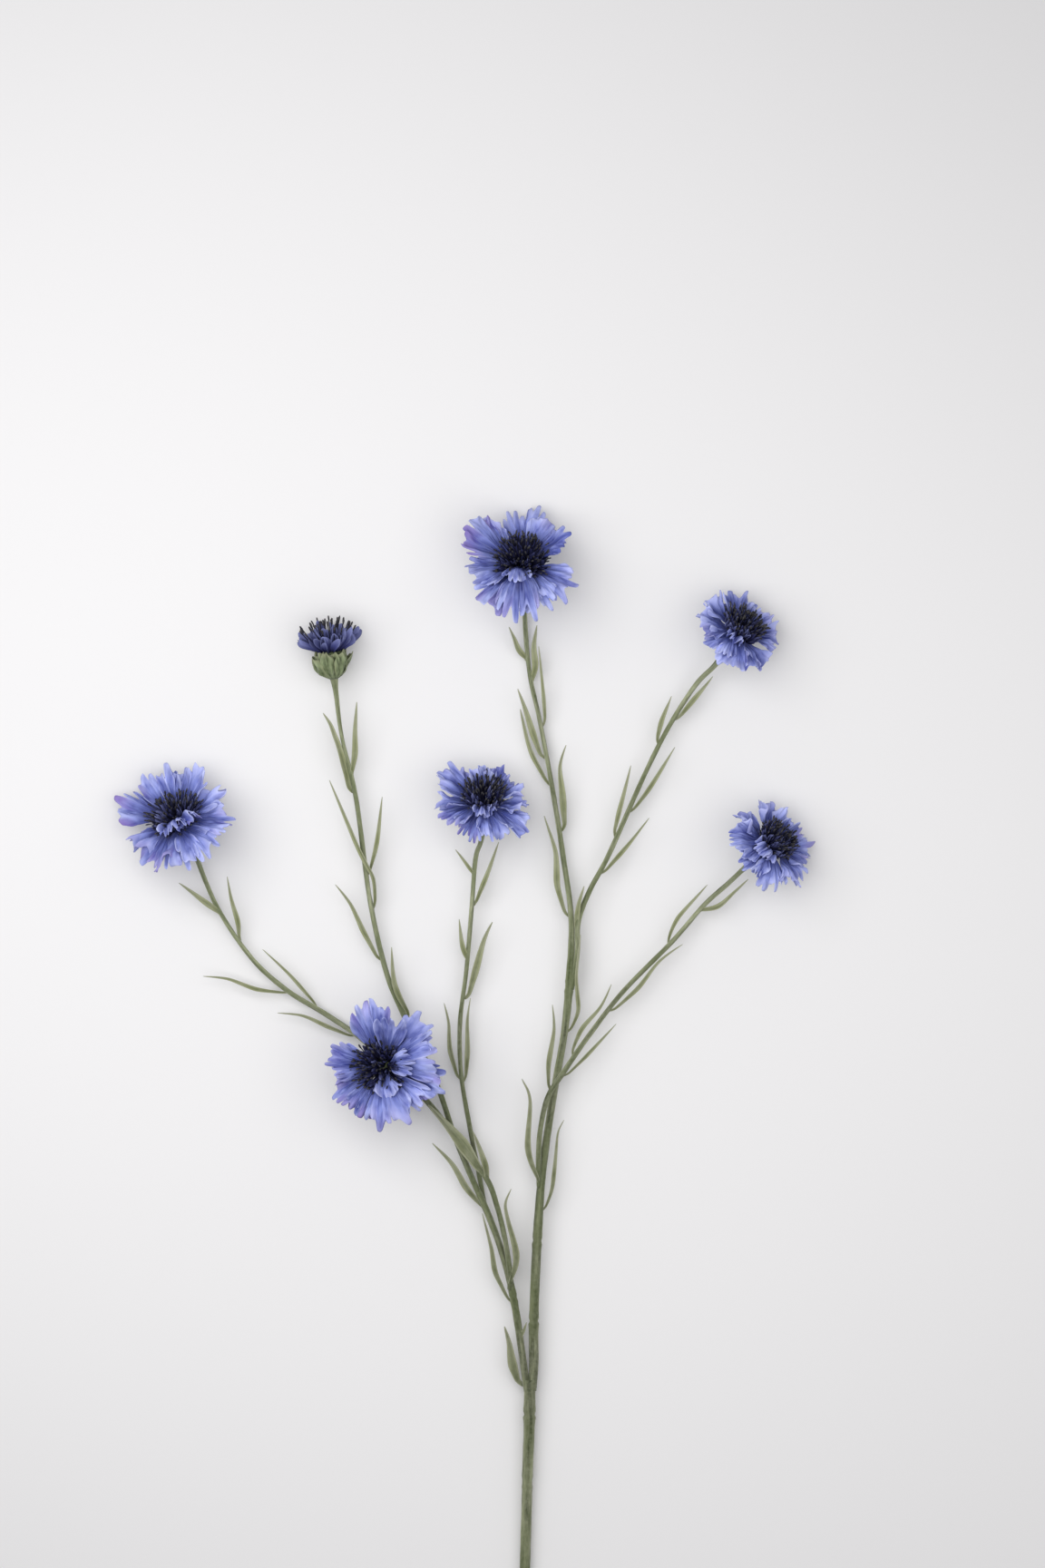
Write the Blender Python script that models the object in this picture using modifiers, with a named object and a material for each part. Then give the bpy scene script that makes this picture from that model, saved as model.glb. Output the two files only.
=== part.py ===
"""A cut cornflower spray, lying on a flat surface.

One ridged stem forks into two leaders, which carry seven flower heads on thin side branches with
narrow leaves.  Six heads are open, each with an involucre of green bracts, a dome of dark disc
florets and a ring of fan-shaped ray florets.  The seventh is half open and has no ray ring yet.

Routes are written in millimetres from the cut end of the stem: x to the right, y along the spray
towards the flowers, z up from the surface that the spray lies on.  The model itself is in metres,
with its origin at the bottom centre of its box.
"""
import math

import bmesh
import bpy
from mathutils import Vector

MM = 0.001
GAP = 0.3                      # clearance between neighbouring solids
SPRAY_CENTRE = (-24.3, 226.1)  # middle of the spray's outline, measured from the cut end

# Stems: radius at the foot, radius at the top, then the route from foot to top.
STEM_STEP = 9.0                # distance between the rings of a stem
STEMS = {
    "main_stem": (1.85, 2.3, ((-3.5, 0, 1.9), (-1.3, 80, 2.6), (0.1, 127, 3.6), (0.3, 143.5, 4.2))),
    "right_leader": (1.75, 0.85, (
        (1.9, 144.6, 4.3), (1.7, 160, 4.8), (2.0, 175, 5.2), (3.4, 202, 5.6), (5.0, 221, 5.4),
        (8.3, 244, 4.8), (12.5, 268, 5.2), (14.5, 288, 5.6), (15.0, 309, 5.6), (12.0, 332, 5.0),
        (8.5, 354, 4.4), (4.1, 378, 3.6), (0.6, 394, 3.0), (-1.0, 409, 2.4))),
    "upper_right_branch": (0.95, 0.8, (
        (16.9, 290, 7.0), (17.2, 298, 7.0), (17.5, 308, 6.8), (21.6, 319, 6.4), (28.5, 332, 6.0),
        (41.2, 360.4, 5.6), (50.0, 377.6, 5.4), (58.9, 391.4, 5.6))),
    "lower_right_branch": (1.0, 0.8, (
        (3.2, 221, 8.2), (4.0, 234, 8.6), (6.7, 246, 8.8), (12.0, 254.5, 8.7), (20.7, 267, 7.4),
        (33.3, 283.2, 6.4), (50.6, 300.8, 5.8), (61.8, 313.6, 5.6), (70.0, 321.0, 5.8))),
    "left_leader": (1.3, 1.2, (
        (-1.6, 144.8, 4.6), (-2.6, 157, 5.0), (-4.5, 170, 5.2), (-6.9, 182, 5.2), (-10.4, 194, 5.4),
        (-14.4, 204.6, 5.8), (-17.3, 211.2, 5.9))),
    "inner_branch": (0.8, 0.75, (
        (-15.2, 206, 2.8), (-17.9, 220, 3.2), (-21.0, 236, 4.0), (-23.9, 254, 4.6),
        (-24.3, 272, 4.8), (-22.0, 291, 5.0), (-20.1, 313.6, 5.2), (-18.8, 330, 6.4))),
    "bud_branch": (1.05, 0.8, (
        (-17.6, 211.9, 5.9), (-22.4, 222.7, 5.2), (-26.9, 234, 4.6), (-33.0, 251.5, 4.6),
        (-44.8, 276.2, 5.0), (-50.6, 291, 5.2), (-56.1, 315.5, 5.4), (-61.0, 351.4, 6.2),
        (-66.0, 373.4, 7.4))),
    "left_branch": (0.95, 0.85, (
        (-6.6, 184, 7.9), (-8.4, 196, 7.9), (-11.2, 207.7, 8.0), (-15.3, 218, 8.0),
        (-26.6, 233, 7.7), (-34.9, 243.2, 5.8), (-45.0, 253.4, 3.6), (-58.6, 265.9, 3.0),
        (-71.5, 274.9, 3.6), (-85.4, 283.5, 4.2), (-98.0, 295, 4.6), (-110.1, 313, 4.8))),
    "front_branch": (0.7, 0.8, ((-36.2, 245.6, 8.2), (-41.0, 250.2, 7.6))),
}

# Heads: the stem that carries it, the foot of the involucre, heading and lean of the flower's axis
# (degrees from +x and from straight up), radius of the disc, then reach and rise of the rays.
NECK = 6.0                     # straight length of stem below each head
HEADS = {
    "top": ("right_leader", (-1.9, 427.5, 5.9), 95, 39, 9.3, 22.5, -0.4),
    "upper_right": ("upper_right_branch", (68.5, 402.0, 9.4), 55, 62, 8.2, 15.5, -2.0),
    "lower_right": ("lower_right_branch", (78.6, 329.0, 8.3), 42, 58, 8.2, 15.5, -2.0),
    "inner": ("inner_branch", (-16.3, 341.0, 9.9), 88, 57, 8.4, 17.0, -3.0),
    "half_open": ("bud_branch", (-68.6, 393.6, 9.2), 97, 82, 9.4, 0.0, 0.0),
    "front": ("front_branch", (-48.6, 257.0, 11.6), 158, 14, 9.3, 23.5, 3.0),
    "left": ("left_branch", (-120.2, 336.8, 6.7), 115, 46, 9.0, 22.0, 2.0),
}
RAYS = 9                       # ray florets in a ring
STEPS_PER_RAY = 4
TURN_STEPS = 12                # facets round an involucre or a disc

# Leaves, each a node of its own, by the stem they grow on: half the blade's width, how far the
# tip stands above the stem, and the route of the midrib.
LEAVES = {
    "right_leader": (
        (0.8, 3.0, ((5.2, 207), (8.1, 213), (9.4, 224), (10.4, 234), (12.4, 238))),
        (0.9, 4.0, ((6.9, 249.5), (7.0, 257.6), (9.0, 270), (8.3, 278.7))),
        (0.8, 6.5, ((14.3, 270), (17.6, 277), (16.9, 288), (18.2, 303.4))),
        (1.1, 2.5, ((14.1, 311), (10.0, 321), (9.6, 332), (5.4, 345.3))),
        (1.0, 3.0, ((11.6, 340.2), (11.9, 352), (10.9, 363), (13.2, 370.2))),
        (1.0, -2.0, ((6.9, 358), (1.0, 368), (-1.6, 377), (-3.0, 383))),
        (1.2, 5.0, ((5.4, 367), (1.4, 375), (-1.6, 384), (-3.9, 390))),
        (0.8, 3.0, ((5.0, 378.6), (5.4, 387), (3.5, 405.1)))),
    "upper_right_branch": (
        (0.8, 2.0, ((26.4, 326), (34.6, 334.6), (42.5, 344.5))),
        (0.9, 3.0, ((30.8, 339.5), (32.6, 349), (36.0, 363))),
        (0.9, 2.0, ((36.8, 348), (43.5, 356.4), (51.6, 369.5))),
        (0.9, 3.0, ((46.0, 372), (47.0, 379), (50.4, 387.5))),
        (0.9, 2.0, ((52.6, 380.5), (59.2, 387.4), (65.0, 394.4)))),
    "lower_right_branch": (
        (0.8, 2.0, ((16.0, 262), (18.6, 270), (25.4, 278), (29.1, 286))),
        (0.7, 2.0, ((13.4, 254.4), (22.0, 262.6), (30.8, 272))),
        (0.8, 3.0, ((29.5, 277.4), (38.4, 284.4), (46.0, 294), (54.2, 300))),
        (0.8, 3.0, ((50.2, 301), (52.6, 309), (63.0, 321)))),
    "inner_branch": (
        (0.9, 3.0, ((-24.5, 253.6), (-27.8, 263), (-28.2, 272), (-29.9, 279.2))),
        (0.9, 4.0, ((-23.2, 253), (-21.6, 262), (-21.6, 273), (-20.6, 281))),
        (1.1, 3.0, ((-22.5, 280.8), (-18.8, 291), (-15.6, 302), (-12.8, 307.8))),
        (1.0, 3.0, ((-18.9, 315.2), (-15.2, 323), (-10.6, 336)))),
    "bud_branch": (
        (1.0, 4.0, ((-42.9, 275), (-47.2, 285.4), (-48.4, 299))),
        (1.0, 2.0, ((-52.6, 295.5), (-58.6, 305), (-62.8, 314), (-68.3, 321))),
        (1.0, 5.5, ((-55.0, 314.6), (-54.6, 323), (-60, 334), (-70.2, 357.8))),
        (0.8, 3.0, ((-56.0, 326.1), (-53.6, 336), (-51.7, 352))),
        (1.1, 4.5, ((-62.4, 355), (-66.0, 366), (-69.6, 377), (-74.7, 384.3)))),
    "left_branch": (
        (0.8, 2.0, ((-62.5, 268.6), (-71.8, 271), (-80, 274.6), (-88.8, 275.6))),
        (0.8, 2.0, ((-86.4, 283.6), (-96.6, 284), (-106, 287.6), (-115, 288.6))),
        (0.7, 2.0, ((-76.2, 278.6), (-84, 288.6), (-94, 298.1)))),
    "left_leader": (
        (0.9, 2.0, ((-7.6, 174.6), (-11.8, 184), (-13.0, 192), (-16.4, 205))),
        (1.1, 2.0, ((-1.2, 145.5), (-5.6, 151), (-6.8, 159), (-8.6, 165)))),
}

# Small leaves that are one solid with the stem they grow on, written in the same way.
JOINED_LEAVES = {
    "right_leader": (
        (0.7, 3.0, ((-0.9, 401), (-3.6, 404), (-7.0, 411))),
        (0.8, 4.0, ((1.0, 392.8), (2.6, 398), (3.2, 410)))),
    "upper_right_branch": (
        (0.7, 2.5, ((17.5, 308), (16.4, 313), (18.8, 320.5))),),
    "lower_right_branch": (
        (0.7, 2.0, ((60.4, 312), (67.6, 314), (77.4, 322.9))),
        (0.8, -1.0, ((3.8, 224), (0.2, 228), (0.2, 242), (-2.4, 252.5)))),
    "left_leader": (
        (0.5, 2.0, ((-3.6, 161.9), (-1.8, 163.2), (-0.8, 166.5))),
        (0.8, 2.0, ((-15.0, 206), (-20.6, 211.5), (-26.4, 221), (-34, 229.8)))),
    "inner_branch": (
        (0.6, 2.0, ((-19.3, 325), (-22.4, 328), (-25.9, 333))),
        (0.7, 2.0, ((-21.8, 293), (-24.2, 299), (-24.6, 308.8)))),
    "bud_branch": (
        (0.8, 3.0, ((-63.2, 361.5), (-60.6, 367), (-60.6, 384.6))),),
    "left_branch": (
        (0.8, 2.0, ((-109.4, 311.8), (-115, 314.6), (-123.5, 321.6))),
        (0.7, 3.0, ((-103.0, 302.5), (-102.6, 309), (-106.4, 323.8))),
        (0.8, 3.0, ((-6.8, 186), (-4.4, 191), (-7.6, 204), (-6.2, 213.4))),
        (0.8, 3.0, ((-13.6, 214.6), (-13.2, 221), (-18.6, 234.2)))),
}
LEAF_RINGS = 7
LEAF_FOOT = 0.45               # width of a leaf at its foot and at its tip, as a share of its middle
LEAF_TIP = 0.16
LEAF_ROLL = math.radians(25)   # how far a blade leans towards its stem
BLADE_THICKNESS = 0.44         # as a share of half the width

RAY_WAIST = 5.6                # radius of the hole in a ring of rays
RAY_NOTCH = 0.25               # how much shorter the ring is between two rays

STEM_GREEN = (0.16, 0.21, 0.09)
LEAF_GREEN = (0.30, 0.37, 0.15)
BRACT_GREEN = (0.13, 0.19, 0.07)
RAY_BLUE = (0.13, 0.19, 0.64)
DISC_NAVY = (0.012, 0.012, 0.045)


def start_clean():
    for old in list(bpy.data.objects):
        bpy.data.objects.remove(old, do_unlink=True)


def new_collection(name):
    made = bpy.data.collections.new(name)
    bpy.context.scene.collection.children.link(made)
    return made


def plant_material(name, colour, roughness):
    made = bpy.data.materials.new(name)
    made.use_nodes = True
    shader = made.node_tree.nodes["Principled BSDF"]
    shader.inputs["Base Color"].default_value = (*colour, 1)
    shader.inputs["Roughness"].default_value = roughness
    shader.inputs["Metallic"].default_value = 0
    return made


def smooth_route(points, step):
    """Points about a step apart on a smooth curve through the route's own points."""
    knots = [Vector(p) for p in points]
    knots = [2 * knots[0] - knots[1], *knots, 2 * knots[-1] - knots[-2]]
    route = []
    for a, b, c, d in zip(knots, knots[1:], knots[2:], knots[3:]):
        pieces = max(1, round((c - b).length / step))
        for i in range(pieces):
            t = i / pieces
            route.append(0.5 * (2 * b + (c - a) * t + (2 * a - 5 * b + 4 * c - d) * t * t
                                + (3 * b - a - 3 * c + d) * t ** 3))
    route.append(knots[-2])
    return route


def swept(name, route, radii, profile=None, tilt=0.0):
    """A capped tube along a route in millimetres, round or with the section of a profile curve."""
    data = bpy.data.curves.new(name, "CURVE")
    data.dimensions = "3D"
    data.twist_mode = "Z_UP"
    data.use_fill_caps = True
    if profile:
        data.bevel_mode = "OBJECT"
        data.bevel_object = profile
    else:
        data.bevel_depth = MM
        data.bevel_resolution = 2
    spline = data.splines.new("POLY")
    spline.points.add(len(route) - 1)
    for point, place, radius in zip(spline.points, route, radii):
        point.co = (*(place * MM), 1)
        point.radius = radius
        point.tilt = tilt
    return bpy.data.objects.new(name, data)


def as_mesh(piece):
    """The same shape as a mesh object with welded caps, for a piece that takes a Boolean."""
    bpy.context.scene.collection.objects.link(piece)
    evaluated = piece.evaluated_get(bpy.context.evaluated_depsgraph_get())
    data = bpy.data.meshes.new_from_object(evaluated)
    welded = bmesh.new()
    welded.from_mesh(data)
    bmesh.ops.remove_doubles(welded, verts=welded.verts, dist=0.01 * MM)
    bmesh.ops.recalc_face_normals(welded, faces=welded.faces)
    welded.to_mesh(data)
    welded.free()
    name = piece.name
    curve = piece.data
    bpy.data.objects.remove(piece)
    bpy.data.curves.remove(curve)
    return bpy.data.objects.new(name, data)


def finish(piece, material, group, frame):
    """Puts a piece in its group, under the empty that carries the whole spray."""
    group.objects.link(piece)
    piece.parent = frame
    piece.data.materials.clear()
    piece.data.materials.append(material)
    if piece.type == "MESH":
        piece.data.shade_smooth()
        piece.data.set_sharp_from_angle(angle=math.radians(50))
    return piece


def head_axis(heading, lean):
    heading, lean = math.radians(heading), math.radians(lean)
    return Vector((math.sin(lean) * math.cos(heading), math.sin(lean) * math.sin(heading),
                   math.cos(lean)))


def stem_route(name):
    """A stem's route, with its neck and its end below the head that it carries."""
    points = list(STEMS[name][2])
    for carrier, foot, heading, lean, *_ in HEADS.values():
        if carrier == name:
            axis = head_axis(heading, lean)
            points += [Vector(foot) - NECK * axis, Vector(foot) - GAP * axis]
    return smooth_route(points, STEM_STEP)


def stem_radii(name, count):
    foot, top = STEMS[name][:2]
    return [foot + (top - foot) * i / (count - 1) for i in range(count)]


def leaf_section():
    """The flat six-sided section of a leaf, one millimetre to each edge of the blade."""
    data = bpy.data.curves.new("leaf_section", "CURVE")
    spline = data.splines.new("POLY")
    half = BLADE_THICKNESS / 2
    outline = ((-1, 0), (-0.5, half), (0.5, half), (1, 0), (0.5, -half), (-0.5, -half))
    spline.points.add(len(outline) - 1)
    for point, (across, up) in zip(spline.points, outline):
        point.co = (across * MM, up * MM, 0, 1)
    spline.use_cyclic_u = True
    section = bpy.data.objects.new("leaf_section", data)
    section.hide_render = True
    section.display_type = "WIRE"
    return section


def leaf(name, stem, shape, section, joined):
    """A narrow leaf beside its stem, or rooted in the stem's middle if it is joined to it."""
    half_width, tip_rise, points = shape
    route = stem_route(stem)
    radii = stem_radii(stem, len(route))
    first, second = (Vector(p).to_3d() for p in points[:2])
    near = min(range(len(route)), key=lambda i: (route[i].xy - first.xy).length)
    along = route[min(near + 1, len(route) - 1)] - route[max(near - 1, 0)]
    along.z = 0
    along.normalize()
    side = second - route[near].xy.to_3d()
    side = (side - side.dot(along) * along).normalized()
    height = route[near].z
    node = route[near] + along * (first - route[near]).dot(along)
    reach = 0 if joined else radii[near] + GAP + LEAF_FOOT * half_width
    placed = [node + side * reach]
    for i, point in enumerate(points[1:], 1):
        placed.append(Vector((*point, height + tip_rise * i / (len(points) - 1))))
    length = sum((b - a).length for a, b in zip(placed, placed[1:]))
    line = smooth_route(placed, length / LEAF_RINGS)
    widths = []
    for i in range(len(line)):
        t = i / (len(line) - 1)
        swell = min(1.0, LEAF_FOOT + 2.2 * t, 1.5 * (1 - t) ** 0.7)
        widths.append(half_width * max(LEAF_TIP, swell))
    return swept(name, line, widths, section, math.copysign(LEAF_ROLL, side.x))


def turned(name, profile):
    """A solid turned about its own z axis from a profile that runs down its outer side."""
    data = bpy.data.meshes.new(name)
    data.from_pydata([(r * MM, 0, z * MM) for r, z in profile], [(i, i + 1) for i in
                     range(len(profile) - 1)], [])
    piece = bpy.data.objects.new(name, data)
    screw = piece.modifiers.new("turn", "SCREW")
    screw.steps = screw.render_steps = TURN_STEPS
    screw.use_merge_vertices = True
    screw.merge_threshold = 0.00001
    return piece


def involucre(name, flared):
    """The urn of overlapping bracts that holds the florets."""
    if flared:
        profile = ((0, 9.6), (4.6, 9.6), (6.9, 10.2), (6.6, 7.8), (5.6, 4.6), (3.6, 1.6), (1.7, 0), (0, 0))
    else:
        profile = ((0, 10.4), (3.6, 10.4), (4.4, 8.8), (5.3, 5.4), (4.6, 2.6), (1.7, 0), (0, 0))
    return turned(name, profile)


def disc_florets(name, radius, foot):
    """The dome of dark tube florets in the middle of a head."""
    profile = ((0, foot + 9.6), (0.45 * radius, foot + 9.2), (0.85 * radius, foot + 7.4),
               (radius, foot + 5.2), (0.8 * radius, foot + 2.8), (3.4, foot), (0, foot))
    return turned(name, profile)


def ray_florets(name, reach, rise):
    """The ring of ray florets: a thin dish, deeply notched between one fan and the next."""
    half_way = 0.6 * reach
    section = ((RAY_WAIST, 11.6), (half_way, 12.4 + 0.8 * rise), (reach, 12.0 + rise),
               (reach, 11.2 + rise), (half_way, 11.2 + 0.8 * rise), (RAY_WAIST, 10.3))
    ring = bmesh.new()
    corners = [ring.verts.new((r * MM, 0, z * MM)) for r, z in section]
    sides = [ring.edges.new((a, b)) for a, b in zip(corners, corners[1:] + corners[:1])]
    bmesh.ops.spin(ring, geom=corners + sides, cent=(0, 0, 0), axis=(0, 0, 1), angle=math.tau,
                   steps=RAYS * STEPS_PER_RAY, use_merge=True)
    bmesh.ops.remove_doubles(ring, verts=ring.verts, dist=0.01 * MM)
    for vert in ring.verts:
        turn = math.atan2(vert.co.y, vert.co.x) * RAYS / 2
        outward = max(0.0, vert.co.xy.length / (reach * MM) - 0.35) / 0.65
        notch = 1 - RAY_NOTCH * outward * (1 - abs(math.sin(turn)) ** 0.7)
        vert.co.x *= notch
        vert.co.y *= notch
    bmesh.ops.recalc_face_normals(ring, faces=ring.faces)
    data = bpy.data.meshes.new(name)
    ring.to_mesh(data)
    ring.free()
    return bpy.data.objects.new(name, data)


def stand_on(piece, foot, axis):
    """Puts a turned piece's foot on a point, with its z axis along the flower's axis."""
    piece.location = Vector(foot) * MM
    piece.rotation_mode = "QUATERNION"
    piece.rotation_quaternion = axis.to_track_quat("Z", "Y")


def main():
    start_clean()
    spray = new_collection("cornflower_spray")
    guides = new_collection("guides")
    frame = bpy.data.objects.new("spray_frame", None)
    frame.location = (-SPRAY_CENTRE[0] * MM, -SPRAY_CENTRE[1] * MM, 0)
    spray.objects.link(frame)
    section = leaf_section()
    guides.objects.link(section)

    stem_skin = plant_material("stem", STEM_GREEN, 0.7)
    leaf_skin = plant_material("leaf", LEAF_GREEN, 0.6)
    bract_skin = plant_material("bract", BRACT_GREEN, 0.7)
    ray_skin = plant_material("ray_petal", RAY_BLUE, 0.6)
    disc_skin = plant_material("disc_floret", DISC_NAVY, 0.5)

    for name in STEMS:
        route = stem_route(name)
        stem = as_mesh(swept(name, route, stem_radii(name, len(route))))
        finish(stem, stem_skin, spray, frame)
        for number, shape in enumerate(JOINED_LEAVES.get(name, ()), 1):
            blade = as_mesh(leaf(f"{name}_small_leaf_{number}", name, shape, section, True))
            blade.hide_render = True
            blade.display_type = "WIRE"
            finish(blade, leaf_skin, guides, frame)
            union = stem.modifiers.new("small_leaf", "BOOLEAN")
            union.operation = "UNION"
            union.solver = "EXACT"
            union.object = blade
        for number, shape in enumerate(LEAVES.get(name, ()), 1):
            blade = leaf(f"{name}_leaf_{number}", name, shape, section, False)
            finish(blade, leaf_skin, spray, frame)

    for name, (_, foot, heading, lean, disc_radius, reach, rise) in HEADS.items():
        axis = head_axis(heading, lean)
        cup = finish(involucre(f"{name}_involucre", not reach), bract_skin, spray, frame)
        disc = disc_florets(f"{name}_disc_florets", disc_radius, 10.7 if reach else 9.9)
        finish(disc, disc_skin, spray, frame)
        stand_on(cup, foot, axis)
        stand_on(disc, foot, axis)
        if reach:
            rays = finish(ray_florets(f"{name}_ray_florets", reach, rise), ray_skin, spray, frame)
            stand_on(rays, foot, axis)


main()
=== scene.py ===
# %% [markdown]
# # A cut cornflower spray
#
# A cornflower is a thin, tough plant: one ribbed stem that forks again and again, a few narrow
# leaves, and a blue head on the end of each branch.  This one has been cut and laid down.  The
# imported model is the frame: it says where every stem, leaf and head lies.  This file gives each of
# them its real surface and shape.

# %% Load the frame
import math
import random

import bmesh
import bpy
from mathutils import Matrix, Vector, noise


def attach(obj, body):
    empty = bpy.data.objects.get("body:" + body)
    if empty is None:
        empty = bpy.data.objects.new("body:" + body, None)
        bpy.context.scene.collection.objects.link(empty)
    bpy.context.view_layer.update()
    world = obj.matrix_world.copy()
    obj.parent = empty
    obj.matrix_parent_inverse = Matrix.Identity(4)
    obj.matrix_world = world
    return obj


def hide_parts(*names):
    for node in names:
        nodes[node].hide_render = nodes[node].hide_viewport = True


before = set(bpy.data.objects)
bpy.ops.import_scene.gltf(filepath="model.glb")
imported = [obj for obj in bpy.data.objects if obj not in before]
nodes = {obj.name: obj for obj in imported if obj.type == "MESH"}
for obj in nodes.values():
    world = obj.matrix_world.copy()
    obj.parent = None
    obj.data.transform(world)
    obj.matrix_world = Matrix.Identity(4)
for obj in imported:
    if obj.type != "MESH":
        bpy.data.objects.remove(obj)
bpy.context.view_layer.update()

MM = 0.001
BODY = "root"

# %% [markdown]
# ## The camera, the floor and the light
#
# The spray lies flat, so the camera looks straight down on it and +Y is up in the view.  A wide lens
# close by would stretch the heads that lean towards the edges, so a long one is used from further
# away.  The stem runs out of the view's lower edge.

# %% Camera
CAMERA_HEIGHT = 1.6                    # above the middle of the view, in metres
VIEW_HEIGHT = 0.553                    # how much of the floor the view takes in, top to bottom
VIEW_CENTRE = Vector((0.0221, 0.1304, 0.008))
SENSOR = 36                            # in millimetres

camera = bpy.data.objects.new("camera", bpy.data.cameras.new("camera"))
bpy.context.scene.collection.objects.link(camera)
camera.location = VIEW_CENTRE + Vector((0, 0, CAMERA_HEIGHT))
camera.data.sensor_width = SENSOR
camera.data.lens = SENSOR * CAMERA_HEIGHT / VIEW_HEIGHT
bpy.context.scene.camera = camera
print(f"a lens of {camera.data.lens:.0f} mm, {CAMERA_HEIGHT} m above the spray")

# %% [markdown]
# Studio light for a small plant is one broad, soft source.  A large area light to the left gives the
# petals their shape and falls off gently towards the corners, a weaker one on the right keeps the
# dark florets readable, and a pale sky fills the rest, so the shadows stay faint.

# %% Floor and lights
FLOOR_SIDE = 40.0                      # in metres, so that its edge stays far away
PAPER = (0.80, 0.795, 0.80)
LAMP_SIDE = 0.55
KEY_POWER, FILL_POWER = 2.1, 0.9       # in watts
SKY = (1.0, 0.99, 1.0)
SKY_STRENGTH = 0.41


def plain_material(name, colour, roughness):
    made = bpy.data.materials.new(name)
    made.use_nodes = True
    shader = made.node_tree.nodes["Principled BSDF"]
    shader.inputs["Base Color"].default_value = (*colour, 1)
    shader.inputs["Roughness"].default_value = roughness
    return made


def area_light(name, place, aim, power):
    lamp = bpy.data.lights.new(name, "AREA")
    lamp.size = LAMP_SIDE
    lamp.energy = power
    made = bpy.data.objects.new(name, lamp)
    made.location = place
    made.rotation_euler = (Vector(aim) - Vector(place)).to_track_quat("-Z", "Y").to_euler()
    bpy.context.scene.collection.objects.link(made)


board = bmesh.new()
bmesh.ops.create_grid(board, x_segments=1, y_segments=1, size=FLOOR_SIDE / 2)
floor_mesh = bpy.data.meshes.new("floor")
board.to_mesh(floor_mesh)
board.free()
floor = bpy.data.objects.new("floor", floor_mesh)
floor_mesh.materials.append(plain_material("pale_paper", PAPER, 0.9))
bpy.context.scene.collection.objects.link(floor)

area_light("key", (-0.20, 0.20, 0.48), (0.0, 0.12, 0), KEY_POWER)
area_light("fill", (0.22, 0.05, 0.48), (0.0, 0.10, 0), FILL_POWER)
sky = bpy.data.worlds.new("sky")
sky.use_nodes = True
sky.node_tree.nodes["Background"].inputs["Color"].default_value = (*SKY, 1)
sky.node_tree.nodes["Background"].inputs["Strength"].default_value = SKY_STRENGTH
bpy.context.scene.world = sky
bpy.context.scene.view_settings.view_transform = "Standard"
print(f"a floor {FLOOR_SIDE:.0f} m wide, lamps of {KEY_POWER} and {FILL_POWER} W and a pale sky")

# %% [markdown]
# ## Finishes
#
# Every finish here is a colour that runs along the piece, broken up by fine streaks and soft
# blotches.  Both effects are shared, so each is a node group: `streaks` makes thin lines along the
# grain from a piece's own UV map, and `blotches` makes soft patches from its place in space.
#
# Four helpers come first and keep the node code short: a group, a node, a colour ramp and a mix of
# two colours.

# %% Node helpers
MIX_FACTOR, MIX_FIRST, MIX_SECOND, MIX_RESULT = 0, 6, 7, 2   # a Mix node's colour sockets


def new_group(name, inputs, outputs):
    """A shader group with its sockets, and its input and output nodes."""
    group = bpy.data.node_groups.new(name, "ShaderNodeTree")
    for label, kind, value in inputs:
        socket = group.interface.new_socket(label, in_out="INPUT", socket_type=kind)
        socket.default_value = value
    for label, kind in outputs:
        group.interface.new_socket(label, in_out="OUTPUT", socket_type=kind)
    return group, group.nodes.new("NodeGroupInput"), group.nodes.new("NodeGroupOutput")


def add_node(tree, kind, inputs=(), **settings):
    """A node with its settings; inputs is a list of (socket, value or socket to link)."""
    made = tree.nodes.new(kind)
    for key, value in settings.items():
        setattr(made, key, value)
    for label, value in inputs:
        if isinstance(value, bpy.types.NodeSocket):
            tree.links.new(value, made.inputs[label])
        else:
            made.inputs[label].default_value = value
    return made


def ramp(tree, fac, stops):
    """A colour ramp through (position, colour) stops."""
    made = add_node(tree, "ShaderNodeValToRGB", [("Fac", fac)])
    elements = made.color_ramp.elements
    while len(elements) < len(stops):
        elements.new(0.5)
    for element, (position, colour) in zip(elements, stops):
        element.position = position
        element.color = (*colour, 1)
    return made.outputs["Color"]


def mix(tree, factor, first, second):
    """The first colour where the factor is 0, the second where it is 1."""
    made = add_node(tree, "ShaderNodeMix", [(MIX_FACTOR, factor)], data_type="RGBA")
    for index, colour in ((MIX_FIRST, first), (MIX_SECOND, second)):
        if isinstance(colour, bpy.types.NodeSocket):
            tree.links.new(colour, made.inputs[index])
        else:
            made.inputs[index].default_value = (*colour, 1)
    return made.outputs[MIX_RESULT]


print("node helpers:", ", ".join(made.__name__ for made in (new_group, add_node, ramp, mix)))

# %% [markdown]
# Both groups start from noise and sharpen it with a Map Range.  The noise for streaks is drawn out
# along the grain: the UV map is multiplied by many lines across and few along.  The noise for
# blotches reads Object coordinates, so that it runs on from one piece to the next.

# %% Shader groups


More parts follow.
